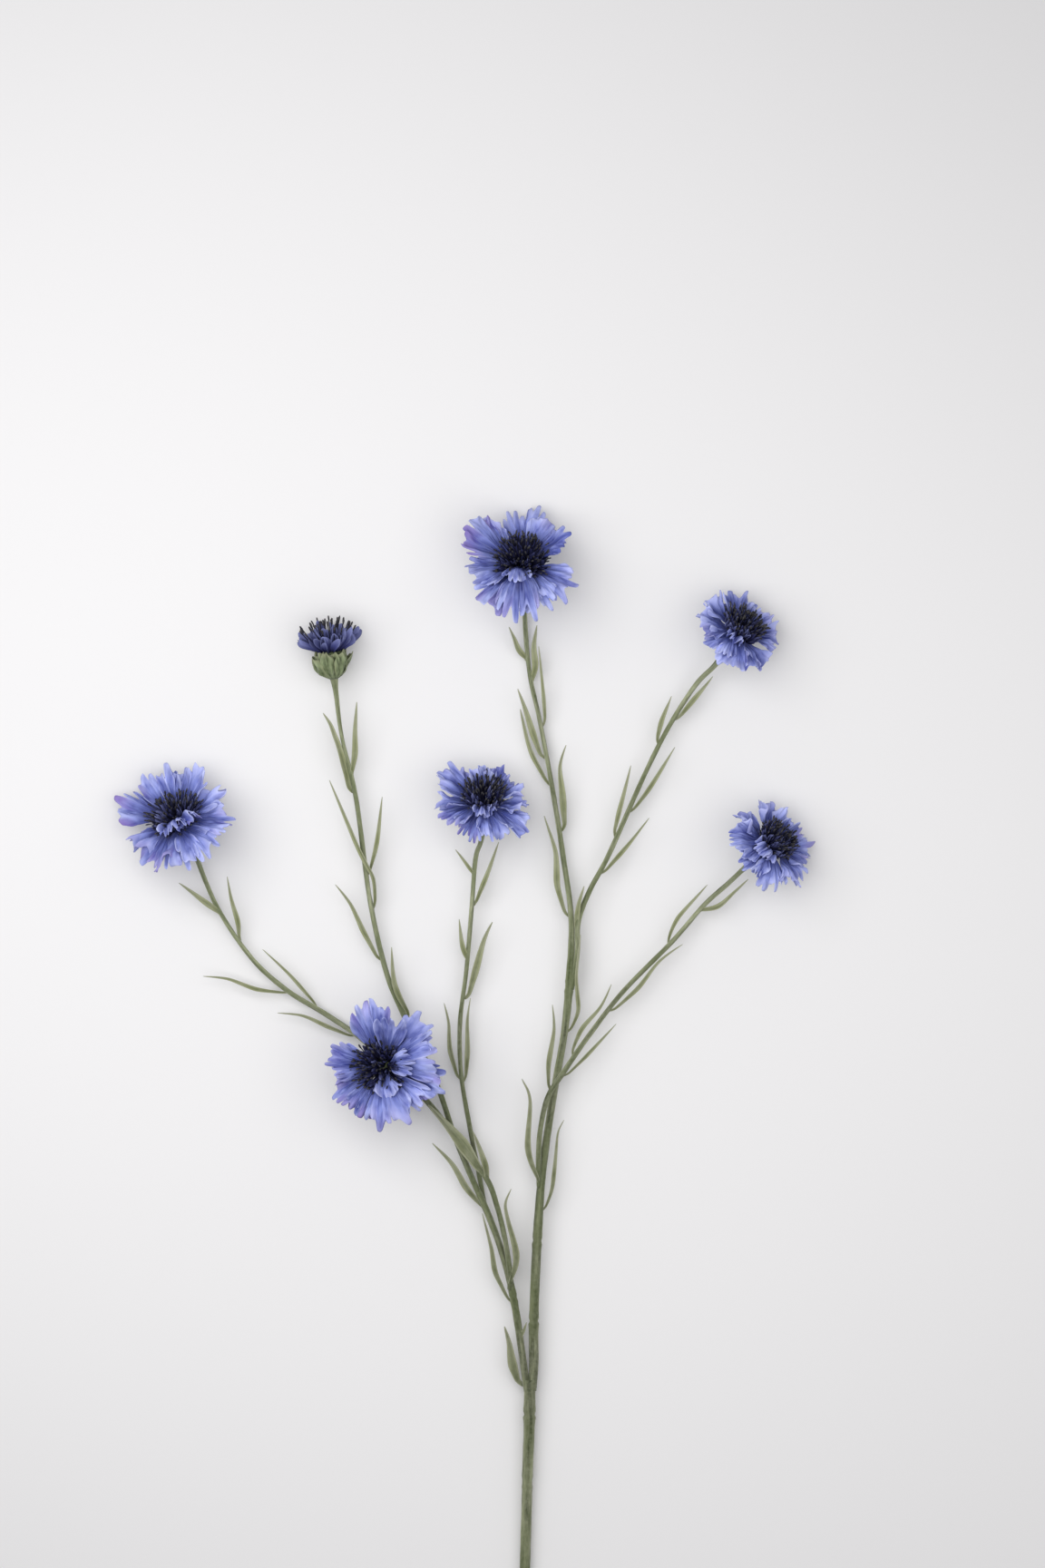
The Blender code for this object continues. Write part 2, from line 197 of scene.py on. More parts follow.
def make_streaks():
    """Thin lines along V: 0 to 1, as many across as Lines says."""
    group, given, result = new_group(
        "streaks",
        [("Lines", "NodeSocketFloat", 20.0), ("Length", "NodeSocketFloat", 1.0)],
        [("Mask", "NodeSocketFloat")])
    uv = add_node(group, "ShaderNodeUVMap")
    scale = add_node(group, "ShaderNodeCombineXYZ", [("X", given.outputs["Lines"]),
                                                     ("Y", given.outputs["Length"])])
    stretched = add_node(group, "ShaderNodeVectorMath", [(0, uv.outputs["UV"]),
                                                         (1, scale.outputs["Vector"])],
                         operation="MULTIPLY")
    grain = add_node(group, "ShaderNodeTexNoise", [("Vector", stretched.outputs["Vector"]),
                                                   ("Scale", 1.0), ("Detail", 3.0)])
    sharper = add_node(group, "ShaderNodeMapRange", [("Value", grain.outputs["Fac"]),
                                                     ("From Min", 0.3), ("From Max", 0.7)])
    group.links.new(sharper.outputs["Result"], result.inputs["Mask"])
    return group


def make_blotches():
    """Soft patches from the piece's place, 0 to 1, of about the Size given in metres."""
    group, given, result = new_group(
        "blotches", [("Size", "NodeSocketFloat", 0.01)], [("Mask", "NodeSocketFloat")])
    where = add_node(group, "ShaderNodeTexCoord")
    scale = add_node(group, "ShaderNodeMath", [(0, 1.0), (1, given.outputs["Size"])],
                     operation="DIVIDE")
    patches = add_node(group, "ShaderNodeTexNoise", [("Vector", where.outputs["Object"]),
                                                     ("Scale", scale.outputs["Value"]),
                                                     ("Detail", 2.0)])
    sharper = add_node(group, "ShaderNodeMapRange", [("Value", patches.outputs["Fac"]),
                                                     ("From Min", 0.35), ("From Max", 0.65)])
    group.links.new(sharper.outputs["Result"], result.inputs["Mask"])
    return group


STREAKS = make_streaks()
BLOTCHES = make_blotches()
print("groups:", STREAKS.name, "and", BLOTCHES.name)

# %% [markdown]
# A material starts the same way each time: streaks and blotches are placed, the colour is built
# from them and from how far along the piece a point is, and the streaks also raise a slight bump.

# %% Material helpers


def use_group(tree, group, **values):
    """A shared effect with this material's own values; gives its mask."""
    made = tree.nodes.new("ShaderNodeGroup")
    made.node_tree = group
    for label, value in values.items():
        made.inputs[label].default_value = value
    return made.outputs["Mask"]


SHEEN_ROUGHNESS = 0.35


def start_material(name, roughness, sheen=0.0, gloss=0.5):
    """A new material, its node tree and its shader."""
    made = bpy.data.materials.new(name)
    made.use_nodes = True
    shader = made.node_tree.nodes["Principled BSDF"]
    shader.inputs["Roughness"].default_value = roughness
    shader.inputs["Sheen Weight"].default_value = sheen
    shader.inputs["Sheen Roughness"].default_value = SHEEN_ROUGHNESS
    shader.inputs["Specular IOR Level"].default_value = gloss
    return made, made.node_tree, shader


def uv_parts(tree):
    """How far across and how far along its piece a point is, from the UV map."""
    uv = add_node(tree, "ShaderNodeUVMap")
    split = add_node(tree, "ShaderNodeSeparateXYZ", [("Vector", uv.outputs["UV"])])
    return split.outputs["X"], split.outputs["Y"]


def painted(tree, name):
    """How strongly a piece's own attribute is painted at a point, 0 to 1."""
    return add_node(tree, "ShaderNodeAttribute", attribute_name=name).outputs["Fac"]


def bump(tree, shader, mask, strength, depth):
    """Raises the surface where the mask is pale, by a depth in metres."""
    made = add_node(tree, "ShaderNodeBump", [("Height", mask), ("Strength", strength),
                                             ("Distance", depth)])
    tree.links.new(made.outputs["Normal"], shader.inputs["Normal"])


print("every material starts from a Principled shader with a sheen roughness of", SHEEN_ROUGHNESS)

# %% [markdown]
# Stems are ribbed and covered in short pale down, which shows as a greyish mottle over olive green.
# Modelling hairs would take far more faces than they are worth at this size, so fine streaks and
# blotches carry it.  The attribute `pale`, painted on each piece, says how pale the skin is at a
# point, and every green finish runs from a dark to a pale green by it.  New growth is paler, and
# `pale` also holds painted shade round the forks, a painted sheen along a stem's sides and painted
# light and shade on the creases of the crumpled bracts.  A leaf also pales towards its tip, has a
# pale rim and a darker groove down its middle; a bract has a pale edge.

# %% Stem, leaf and bract materials


def stem_material():
    made, tree, shader = start_material("stem_skin", 0.72, 0.9, 0.3)
    streaks = use_group(tree, STREAKS, Lines=0.55, Length=0.05)
    threads = use_group(tree, STREAKS, Lines=2.2, Length=0.4)
    flecks = use_group(tree, BLOTCHES, Size=0.0012)
    patches = use_group(tree, BLOTCHES, Size=0.02)
    # pale: lighter for new growth, with painted shade round the forks and a painted sheen along the
    # sides
    age_sheen_and_shade = painted(tree, "pale")
    furrow = mix(tree, age_sheen_and_shade, (0.006, 0.010, 0.002), (0.052, 0.070, 0.018))
    rib = mix(tree, age_sheen_and_shade, (0.280, 0.294, 0.184), (0.545, 0.578, 0.372))
    green = mix(tree, streaks, furrow, rib)
    downy = mix(tree, flecks, green, mix(tree, 0.25, green, (0.40, 0.41, 0.30)))
    threaded = mix(tree, threads, downy, mix(tree, 0.4, downy, (0.03, 0.04, 0.01)))
    colour = mix(tree, patches, threaded, mix(tree, 0.45, threaded, (0.10, 0.13, 0.04)))
    tree.links.new(colour, shader.inputs["Base Color"])
    bump(tree, shader, streaks, 0.7, 0.0004)
    return made


def leaf_material():
    made, tree, shader = start_material("leaf_skin", 0.6, 0.3)
    across, along = uv_parts(tree)
    streaks = use_group(tree, STREAKS, Lines=9.0, Length=2.0)
    patches = use_group(tree, BLOTCHES, Size=0.004)
    low = ramp(tree, along, ((0.0, (0.070, 0.083, 0.034)), (0.45, (0.185, 0.200, 0.104)),
                             (1.0, (0.350, 0.360, 0.255))))
    high = ramp(tree, along, ((0.0, (0.185, 0.205, 0.088)), (0.45, (0.370, 0.395, 0.195)),
                              (1.0, (0.500, 0.510, 0.360))))
    # pale: lighter higher up, with painted shade for the leaves round the forks
    length_tint = mix(tree, painted(tree, "pale"), low, high)
    veined = mix(tree, streaks, length_tint, mix(tree, 0.75, length_tint, (0.060, 0.075, 0.020)))
    rim = ramp(tree, across, ((0.0, (1, 1, 1)), (0.2, (0, 0, 0)), (0.8, (0, 0, 0)),
                              (1.0, (1, 1, 1))))
    rimmed = mix(tree, rim, veined, mix(tree, 0.5, veined, (0.44, 0.45, 0.30)))
    groove = ramp(tree, across, ((0.34, (0, 0, 0)), (0.5, (1, 1, 1)), (0.66, (0, 0, 0))))
    grooved = mix(tree, groove, rimmed, mix(tree, 0.6, rimmed, (0.075, 0.090, 0.030)))
    colour = mix(tree, patches, grooved, mix(tree, 0.3, grooved, (0.40, 0.41, 0.29)))
    tree.links.new(colour, shader.inputs["Base Color"])
    bump(tree, shader, streaks, 0.5, 0.0002)
    return made


def bract_material():
    made, tree, shader = start_material("bract_skin", 0.65, 0.2)
    across, along = uv_parts(tree)
    streaks = use_group(tree, STREAKS, Lines=14.0, Length=2.0)
    flecks = use_group(tree, BLOTCHES, Size=0.0016)
    dark = mix(tree, streaks, (0.022, 0.036, 0.010), (0.085, 0.115, 0.038))
    light = mix(tree, streaks, (0.115, 0.155, 0.060), (0.300, 0.360, 0.200))
    # pale: painted light on the crease ridges, painted shade in their hollows and on the tucked bracts
    green = mix(tree, painted(tree, "pale"), dark, light)
    mottled = mix(tree, flecks, green, mix(tree, 0.3, green, (0.29, 0.34, 0.19)))
    edge = ramp(tree, across, ((0.0, (1, 1, 1)), (0.16, (0, 0, 0)), (0.84, (0, 0, 0)),
                               (1.0, (1, 1, 1))))
    tip = ramp(tree, along, ((0.8, (0, 0, 0)), (1.0, (1, 1, 1))))
    rimmed = mix(tree, edge, mottled, (0.25, 0.28, 0.15))
    colour = mix(tree, tip, rimmed, (0.27, 0.29, 0.17))
    tree.links.new(colour, shader.inputs["Base Color"])
    bump(tree, shader, streaks, 0.4, 0.00015)
    return made


stem_skin = stem_material()
leaf_skin = leaf_material()
bract_skin = bract_material()
print("stem, leaf and bract finishes")

# %% [markdown]
# A ray floret is thin, a little velvety, deep blue where it narrows into its tube and paler towards
# the lobes, with fine veins that fan out with it.  Whole florets fade at different speeds and some
# lobes age to violet.  Both are painted on each floret as an attribute, `pale` and `violet`, so one
# material serves them all.  `pale` also carries painted light on the raised folds and painted shade
# in their hollows.

# %% Floret materials


def ray_material():
    made, tree, shader = start_material("ray_blue", 0.7, 0.0, 0.12)
    along = uv_parts(tree)[1]
    veins = use_group(tree, STREAKS, Lines=30.0, Length=1.2)
    fading = use_group(tree, BLOTCHES, Size=0.007)
    deep = ramp(tree, along, ((0.0, (0.004, 0.005, 0.05)), (0.46, (0.007, 0.012, 0.125)),
                              (0.74, (0.025, 0.042, 0.275)), (1.0, (0.090, 0.125, 0.50))))
    light = ramp(tree, along, ((0.0, (0.008, 0.011, 0.09)), (0.44, (0.065, 0.094, 0.38)),
                               (0.70, (0.300, 0.355, 0.80)), (1.0, (0.570, 0.615, 0.98))))
    blue = mix(tree, painted(tree, "pale"), deep, light)
    veined = mix(tree, veins, blue, mix(tree, 0.25, blue, (0.50, 0.54, 0.84)))
    faded = mix(tree, fading, veined, mix(tree, 0.35, veined, (0.016, 0.026, 0.23)))
    colour = mix(tree, painted(tree, "violet"), faded, (0.25, 0.155, 0.47))
    tree.links.new(colour, shader.inputs["Base Color"])
    bump(tree, shader, veins, 0.6, 0.0003)
    return made


def tube_material():
    made, tree, shader = start_material("tube_indigo", 0.6, 0.0, 0.2)
    along = uv_parts(tree)[1]
    streaks = use_group(tree, STREAKS, Lines=7.0, Length=1.2)
    dark = ramp(tree, along, ((0.0, (0.003, 0.003, 0.010)), (0.55, (0.006, 0.006, 0.028)),
                              (1.0, (0.014, 0.016, 0.080))))
    light = ramp(tree, along, ((0.0, (0.014, 0.015, 0.07)), (0.5, (0.065, 0.074, 0.25)),
                               (1.0, (0.230, 0.255, 0.52))))
    blue = mix(tree, painted(tree, "pale"), dark, light)
    lively = mix(tree, streaks, blue, mix(tree, 0.35, blue, (0.02, 0.02, 0.06)))
    tree.links.new(lively, shader.inputs["Base Color"])
    return made


def stamen_material():
    made, tree, shader = start_material("stamen_dark", 0.5, 0.0, 0.3)
    along = uv_parts(tree)[1]
    patches = use_group(tree, BLOTCHES, Size=0.0015)
    thread = ramp(tree, along, ((0.0, (0.008, 0.008, 0.014)), (0.65, (0.011, 0.010, 0.020)),
                                (0.8, (0.080, 0.076, 0.068)), (1.0, (0.030, 0.029, 0.038))))
    colour = mix(tree, patches, thread, (0.009, 0.009, 0.020))
    tree.links.new(colour, shader.inputs["Base Color"])
    return made


ray_blue = ray_material()
tube_indigo = tube_material()
stamen_dark = stamen_material()
print("ray, tube floret and stamen finishes")

# %% [markdown]
# ## Tools for growing things
#
# Stems, leaves, petals and bracts are all one idea: a strip of skin, bent.  `bent_sheet` makes a
# grid with bmesh and moves each corner to where a small function says, so that the same tool rolls
# a stem, folds a leaf and fans a petal.  Its UV map stays flat: U across and V along.  A sheet has
# no thickness of its own, so a Solidify modifier gives it a wall, after subdivision has made it
# smooth.

# %% Sheets and pieces
PAINTS = ("pale", "violet")            # the attributes that the finishes read


def bent_sheet(bm, across, along, place, uv_size=(1, 1)):
    """A grid of across x along squares; place(u, v) says where each corner goes, u and v 0 to 1."""
    uv = bm.loops.layers.uv.verify()
    for paint_name in PAINTS:
        if paint_name not in bm.verts.layers.float:
            bm.verts.layers.float.new(paint_name)
    corners = bmesh.ops.create_grid(bm, x_segments=across, y_segments=along, size=0.5)["verts"]
    for face in {face for corner in corners for face in corner.link_faces}:
        face.smooth = True
        for loop in face.loops:
            loop[uv].uv = ((loop.vert.co.x + 0.5) * uv_size[0], (loop.vert.co.y + 0.5) * uv_size[1])
    for corner in corners:
        corner.co = place(corner.co.x + 0.5, corner.co.y + 0.5)
    return corners


def paint(bm, corners, name, strength):
    """Paints an attribute on corners: strength is a number, or one for each corner."""
    layer = bm.verts.layers.float[name]
    for i, corner in enumerate(corners):
        corner[layer] = strength[i] if isinstance(strength, list) else strength


def finish_piece(name, bm, material, replaced, thickness=0.0, smoothing=0):
    """Turns a bmesh into a piece that stands for CAD nodes, with thickness and smoothing live."""
    data = bpy.data.meshes.new(name)
    bm.to_mesh(data)
    bm.free()
    data.materials.append(material)
    piece = bpy.data.objects.new(name, data)
    bpy.context.scene.collection.objects.link(piece)
    if smoothing:
        smooth = piece.modifiers.new("smooth", "SUBSURF")
        smooth.levels = smooth.render_levels = smoothing
    if thickness:
        wall = piece.modifiers.new("thickness", "SOLIDIFY")
        wall.thickness = thickness
        wall.offset = 0
    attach(piece, BODY)
    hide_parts(replaced)
    return piece


print("a sheet carries the attributes", PAINTS)

# %% [markdown]
# Stems and leaves follow a route.  A route is given as a few points, and a Catmull-Rom curve passes
# through all of them, with the radius as a fourth number beside x, y and z.  At each point of it a
# frame says which way is sideways and which is up.  The frame is carried from point to point and
# turned as little as it can be, because a frame worked out afresh at each point could flip.

# %% Routes


def smooth_route(points, step):
    """Points about a step apart on a smooth curve through the given ones, radii and all."""
    knots = [Vector(p) for p in points]
    knots = [2 * knots[0] - knots[1], *knots, 2 * knots[-1] - knots[-2]]
    route = []
    for a, b, c, d in zip(knots, knots[1:], knots[2:], knots[3:]):
        pieces = max(1, round((c - b).length / step))
        for i in range(pieces):
            t = i / pieces
            route.append(0.5 * (2 * b + (c - a) * t + (2 * a - 5 * b + 4 * c - d) * t * t
                                + (3 * b - a - 3 * c + d) * t ** 3))
    route.append(knots[-2])
    return route


def frames_along(route):
    """For each point: the point, a sideways and an upward direction, turned as little as can be."""
    up = Vector((0, 0, 1))
    frames = []
    for i, point in enumerate(route):
        forward = (route[min(i + 1, len(route) - 1)] - route[max(i - 1, 0)]).normalized()
        up = (up - up.dot(forward) * forward).normalized()
        frames.append((point, forward.cross(up), up))
    return frames


def clamp(value):
    return min(1.0, max(0.0, value))


def fade(low, high, value):
    """0 at low, 1 at high, and a smooth step between; low may be the larger."""
    t = clamp((value - low) / (high - low))
    return t * t * (3 - 2 * t)


print(len(smooth_route([(0, 0, 0), (10, 0, 0), (20, 5, 0)], 1)), "points 1 mm apart on a 20 mm bend")

# %% [markdown]
# ## Where the heads are
#
# Each head's involucre is a turned solid, so the middle of its points lies on the flower's axis,
# and so does the middle of its disc.  Those two give the axis; the lowest point along it gives the
# foot.  Every head is then modelled upright on its own foot and turned into place.

# %% Head frames
HEADS = ("top", "upper_right", "lower_right", "inner", "half_open", "front", "left")
FLOOR_CLEARANCE = 0.0004               # no part of a head goes lower than this, in metres


def middle(points):
    return sum(points, Vector()) / len(points)


def node_points(name):
    """A CAD node's corners, each one once."""
    seen = {tuple(round(c, 6) for c in vert.co) for vert in nodes[name].data.vertices}
    return [Vector(p) for p in sorted(seen)]


class Head:
    """The place of a flower head: its foot and the three directions of its own space."""

    def __init__(self, name):
        cup = node_points(f"{name}_involucre")
        centre = middle(cup)
        self.name = name
        self.axis = (middle(node_points(f"{name}_disc_florets")) - centre).normalized()
        lowest = min((point - centre).dot(self.axis) for point in cup)
        self.foot = centre + lowest * self.axis
        across = Vector((1, 0, 0))
        self.x = (across - across.dot(self.axis) * self.axis).normalized()
        self.y = self.axis.cross(self.x)

    def place(self, x, y, z):
        """A point of the head's own space, in millimetres, put where the head is."""
        spot = self.foot + (x * self.x + y * self.y + z * self.axis) * MM
        spot.z = max(spot.z, FLOOR_CLEARANCE)
        return spot


heads = {name: Head(name) for name in HEADS}
for head in heads.values():
    print(head.name, "foot", [round(c / MM, 1) for c in head.foot],
          "lean", round(math.degrees(math.acos(head.axis.z))))

# %% [markdown]
# ## Stems
#
# A stem is a long tube, a little thicker where a leaf or a branch leaves it.  It could be a curve
# with a round bevel, but that gives no ribs.  Here a sheet is rolled round the route, and every
# second corner stands out a little, which makes the ribs.  The routes repeat the frame's, in
# millimetres from the cut end, and the last number of each point is the stem's radius there.  A
# stem that carries a head turns into the head's axis over its last stretch, the neck, and widens
# where it meets the involucre.

# %% Stem routes
ORIGIN = Vector((24.3, -226.1, 0))     # the cut end's place from the middle of the spray
STEMS = {
    "main_stem": ((-3.5, 0, 1.9, 1.9), (-2.4, 40, 2.2, 1.9), (-1.3, 80, 2.6, 1.85),
                  (-0.5, 109, 3.2, 1.9), (0.1, 127, 3.6, 2.0), (0.3, 137, 4.0, 2.1),
                  (0.3, 146, 4.3, 2.2)),
    "right_leader": ((1.2, 142, 4.2, 1.6), (1.8, 152, 4.6, 1.75), (1.7, 160, 4.8, 1.75),
                     (2.0, 175, 5.2, 1.7), (3.4, 202, 5.6, 1.6), (5.0, 221, 5.4, 1.4),
                     (8.3, 244, 4.8, 1.35), (12.5, 268, 5.2, 1.35), (14.5, 288, 5.6, 1.45),
                     (15.0, 309, 5.6, 1.05), (12.0, 332, 5.0, 0.95), (8.5, 354, 4.4, 0.9),
                     (4.1, 378, 3.6, 0.8), (0.6, 394, 3.0, 0.8), (-1.0, 409, 2.4, 0.9)),
    "upper_right_branch": ((15.2, 284, 5.8, 0.8), (16.4, 291, 6.9, 0.95), (17.2, 298, 7.0, 0.95),
                           (17.5, 308, 6.8, 0.95), (21.6, 319, 6.4, 0.9), (28.5, 332, 6.0, 0.9),
                           (41.2, 360.4, 5.6, 0.85), (50.0, 377.6, 5.4, 0.85),
                           (58.9, 391.4, 5.6, 0.9)),
    "lower_right_branch": ((3.6, 214, 6.2, 0.8), (3.4, 223, 8.0, 0.95), (4.0, 234, 8.6, 0.95),
                           (6.7, 246, 8.8, 0.95), (12.0, 254.5, 8.7, 0.95), (20.7, 267, 7.4, 0.9),
                           (33.3, 283.2, 6.4, 0.85), (50.6, 300.8, 5.8, 0.85),
                           (61.8, 313.6, 5.6, 0.85), (70.0, 321.0, 5.8, 0.9)),
    "left_leader": ((-0.6, 142, 4.4, 1.3), (-2.6, 157, 5.0, 1.3), (-4.5, 170, 5.2, 1.3),
                    (-6.9, 182, 5.2, 1.25), (-10.4, 194, 5.4, 1.2), (-14.4, 204.6, 5.8, 1.2),
                    (-17.3, 211.2, 5.9, 1.15), (-18.2, 213, 5.9, 1.0)),
    "inner_branch": ((-13.2, 201, 4.2, 0.7), (-15.2, 206, 3.2, 0.8), (-17.9, 220, 3.2, 0.85),
                     (-21.0, 236, 4.0, 0.85), (-23.9, 254, 4.6, 0.8), (-24.3, 272, 4.8, 0.8),
                     (-22.0, 291, 5.0, 0.8), (-20.1, 313.6, 5.2, 0.8), (-18.8, 330, 6.4, 0.85)),
    "bud_branch": ((-17.0, 210.4, 5.9, 1.05), (-22.4, 222.7, 5.2, 1.05), (-26.9, 234, 4.6, 1.0),
                   (-33.0, 251.5, 4.6, 0.95), (-44.8, 276.2, 5.0, 0.95), (-50.6, 291, 5.2, 0.95),
                   (-56.1, 315.5, 5.4, 0.9), (-61.0, 351.4, 6.2, 0.85), (-66.0, 373.4, 7.4, 0.7)),
    "left_branch": ((-6.8, 178, 5.8, 0.8), (-6.6, 184, 7.6, 0.95), (-8.4, 196, 7.9, 0.95),
                    (-11.2, 207.7, 8.0, 0.95), (-15.3, 218, 8.0, 1.0), (-26.6, 233, 7.7, 1.05),
                    (-34.9, 243.2, 5.8, 1.0), (-45.0, 253.4, 3.6, 0.95), (-58.6, 265.9, 3.0, 0.95),
                    (-71.5, 274.9, 3.6, 0.95), (-85.4, 283.5, 4.2, 0.9), (-98.0, 295, 4.6, 0.85),
                    (-110.1, 313, 4.8, 0.8)),
    "front_branch": ((-33.0, 241.6, 6.4, 0.7), (-37.0, 246.2, 8.0, 0.8), (-41.0, 250.2, 7.6, 0.8)),
}
CARRIES = {"right_leader": "top", "upper_right_branch": "upper_right",
           "lower_right_branch": "lower_right", "inner_branch": "inner",
           "bud_branch": "half_open", "left_branch": "left", "front_branch": "front"}
ROUTE_STEP = 1.2                       # distance between a stem's rings
NECK, NECK_RADIUS = 6.0, 0.9           # how far below a head its stem turns to it
SHOULDER, SHOULDER_RADIUS = 1.6, 1.2   # how far below the head the stem starts to widen
FLARE, FLARE_RADIUS = 0.4, 1.55        # how far the stem goes into the involucre


def stem_knots(name):
    """A stem's route in metres with its radii, carried on to the head that it holds."""
    knots = [(*((Vector(p[:3]) + ORIGIN) * MM), p[3] * MM) for p in STEMS[name]]
    if name in CARRIES:
        head = heads[CARRIES[name]]
        last = Vector(knots[-1][:3])
        on_axis = head.foot - NECK * MM * head.axis
        on_line = head.foot.lerp(last, NECK * MM / (head.foot - last).length)
        knots.append((*(0.5 * on_axis + 0.5 * on_line), NECK_RADIUS * MM))
        knots.append((*(head.foot - SHOULDER * MM * head.axis), SHOULDER_RADIUS * MM))
        knots.append((*(head.foot + FLARE * MM * head.axis), FLARE_RADIUS * MM))
    return knots


def from_cut_end(point):
    """How far up the spray a point is from the cut end, in millimetres."""
    return point.y / MM - ORIGIN.y


routes = {name: smooth_route(stem_knots(name), ROUTE_STEP * MM) for name in STEMS}
print({name: f"{len(route)} rings" for name, route in routes.items()})

# %% [markdown]
# The ribs, a slow wobble in the radius and a few faint joints are all done in the function that
# places the corners.  The same function notes how pale each corner is: the two sides are painted
# paler than the top and underside, a painted sheen of the down as it looks from above, and the skin
# is darkest round the forks, painted shade where stems and leaves crowd, and pale near the heads.
# The open ends are closed with `holes_fill`.

# %% Grow the stems
SIDES = 16
RIB = 0.05                             # how far a rib stands out, as a share of the radius
WOBBLE, WOBBLE_RATE = 0.07, 180        # how much the radius wanders, as a share, and how quickly
JOINTS = {"main_stem": (109.8, 133.8), "right_leader": (167.0, 195.5, 285.0),
          "left_leader": (175.0,), "bud_branch": (262.0,)}   # faint rings, from the cut end
SWELLING, GROOVE = 0.14, 0.24          # of a joint, as shares of the radius
STEM_CLEARANCE = 0.0001                # no stem goes lower than this, in metres
# painted sheen: the sides of a stem are painted this much paler than its top and underside, as the down
# looks from above
SIDE_SHEEN = 0.75                            # how much paler the downy sides are than the top


def age_and_fork_shade(height):
    """How pale the skin is at a distance from the cut end: darkest round the forks, which is painted
    shade where stems and leaves crowd, and pale at the tips.
    """
    return 0.08 + 0.34 * fade(150, 110, height) + 0.78 * fade(190, 320, height)


def grow_stem(name):
    """One stem: a ribbed tube along its route."""
    route = routes[name]
    frames = frames_along([Vector(p[:3]) for p in route])
    last = len(route) - 1
    length = sum((b.xyz - a.xyz).length for a, b in zip(route, route[1:]))
    tones = []

    def on_skin(u, v):
        i = round(v * last)
        centre, side, up = frames[i]
        turn = round(u * SIDES) % SIDES
        radius = route[i][3] * (1 + RIB * (turn % 2))
        radius *= 1 + WOBBLE * noise.noise(centre * WOBBLE_RATE)
        for joint in JOINTS.get(name, ()):
            away = abs(from_cut_end(centre) - joint)
            radius *= 1 + SWELLING * fade(4.0, 0.6, away) - GROOVE * fade(1.3, 0.3, away)
        angle = math.tau * turn / SIDES
        spot = centre + radius * (math.cos(angle) * side + math.sin(angle) * up)
        spot.z = max(spot.z, STEM_CLEARANCE)
        # painted sheen along the two sides and painted shade on the top and underside
        down = SIDE_SHEEN * (math.cos(angle) ** 2 - 0.35)
        tones.append(clamp(age_and_fork_shade(from_cut_end(centre)) + down))
        return spot

    bm = bmesh.new()
    uv_size = (math.tau * route[0][3] / MM, length / MM)   # a millimetre of skin is one unit of UV
    corners = bent_sheet(bm, SIDES, last, on_skin, uv_size)
    paint(bm, corners, "pale", tones)
    bmesh.ops.remove_doubles(bm, verts=bm.verts, dist=1e-6)
    bmesh.ops.holes_fill(bm, edges=[edge for edge in bm.edges if edge.is_boundary], sides=0)
    bmesh.ops.recalc_face_normals(bm, faces=bm.faces)
    return finish_piece(f"{name}_skin", bm, stem_skin, name)


for name in STEMS:
    print(name, len(grow_stem(name).data.polygons), "faces")

# %% [markdown]
# ## Leaves
#
# Cornflower leaves are narrow straps that run beside the stem and turn out at the tip.  The frame
# already has each one's route: a CAD leaf is a chain of six-cornered rings, so sorting its corners
# along the leaf and taking them six at a time gives the midrib back.  Its foot is the end that is
# nearer to its stem, and the line is carried on into the stem there.

# %% Midribs from the frame
RING = 6                               # corners to a ring of a CAD leaf
WIDEST_LEAF = 1.05 * MM                # half width


def nearest(stem, spot):
    """The number of the ring of a stem's route that is nearest to a spot, and how far it is."""
    away, ring = min(((p.xyz - spot).length, i) for i, p in enumerate(routes[stem]))
    return ring, away


def midrib(name, stem):
    """The middle of each ring of a CAD leaf, from its foot to its tip, and its half width."""
    corners = node_points(name)
    centre = middle(corners)
    far = max(corners, key=lambda p: (p - centre).length)
    along = (far - centre).normalized()
    corners.sort(key=lambda p: (p - centre).dot(along))
    rings = [corners[i:i + RING] for i in range(0, len(corners) - RING + 1, RING)]
    line = [middle(ring) for ring in rings]
    widths = sorted(max((a - b).length for a in ring for b in ring) for ring in rings)
    if nearest(stem, line[-1])[1] < nearest(stem, line[0])[1]:
        line.reverse()
    return line, min(widths[len(widths) // 2] / 2, WIDEST_LEAF)


def into_stem(line, stem):
    """The same line with its foot carried on into the nearest part of its stem."""
    ring = nearest(stem, line[0])[0]
    root = routes[stem][max(ring - 2, 0)].xyz
    return [root.lerp(line[0], 0.35), *line]


leaf_nodes = sorted(name for name in nodes if "_leaf_" in name)
print(len(leaf_nodes), "leaves in the frame")

# %% [markdown]
# The blade is a sheet laid along the midrib and folded a little along it.  It starts narrow, is soon
# at its full width and comes to a point.  Each leaf rolls to one side and sways its own way, by a
# random number with a fixed seed, so that the spray is the same each time it is grown.

# %% Grow the leaves
LEAF_STEP = 1.6 * MM                   # distance between the rows of a blade
LEAF_COLUMNS = 6
BLADE = 0.22 * MM                      # thickness
FULLNESS = 1.35                        # how much broader a soft blade is than its frame leaf
FULLER = {"left_leader_leaf_2": 2.0}   # the one leaf that is broader still


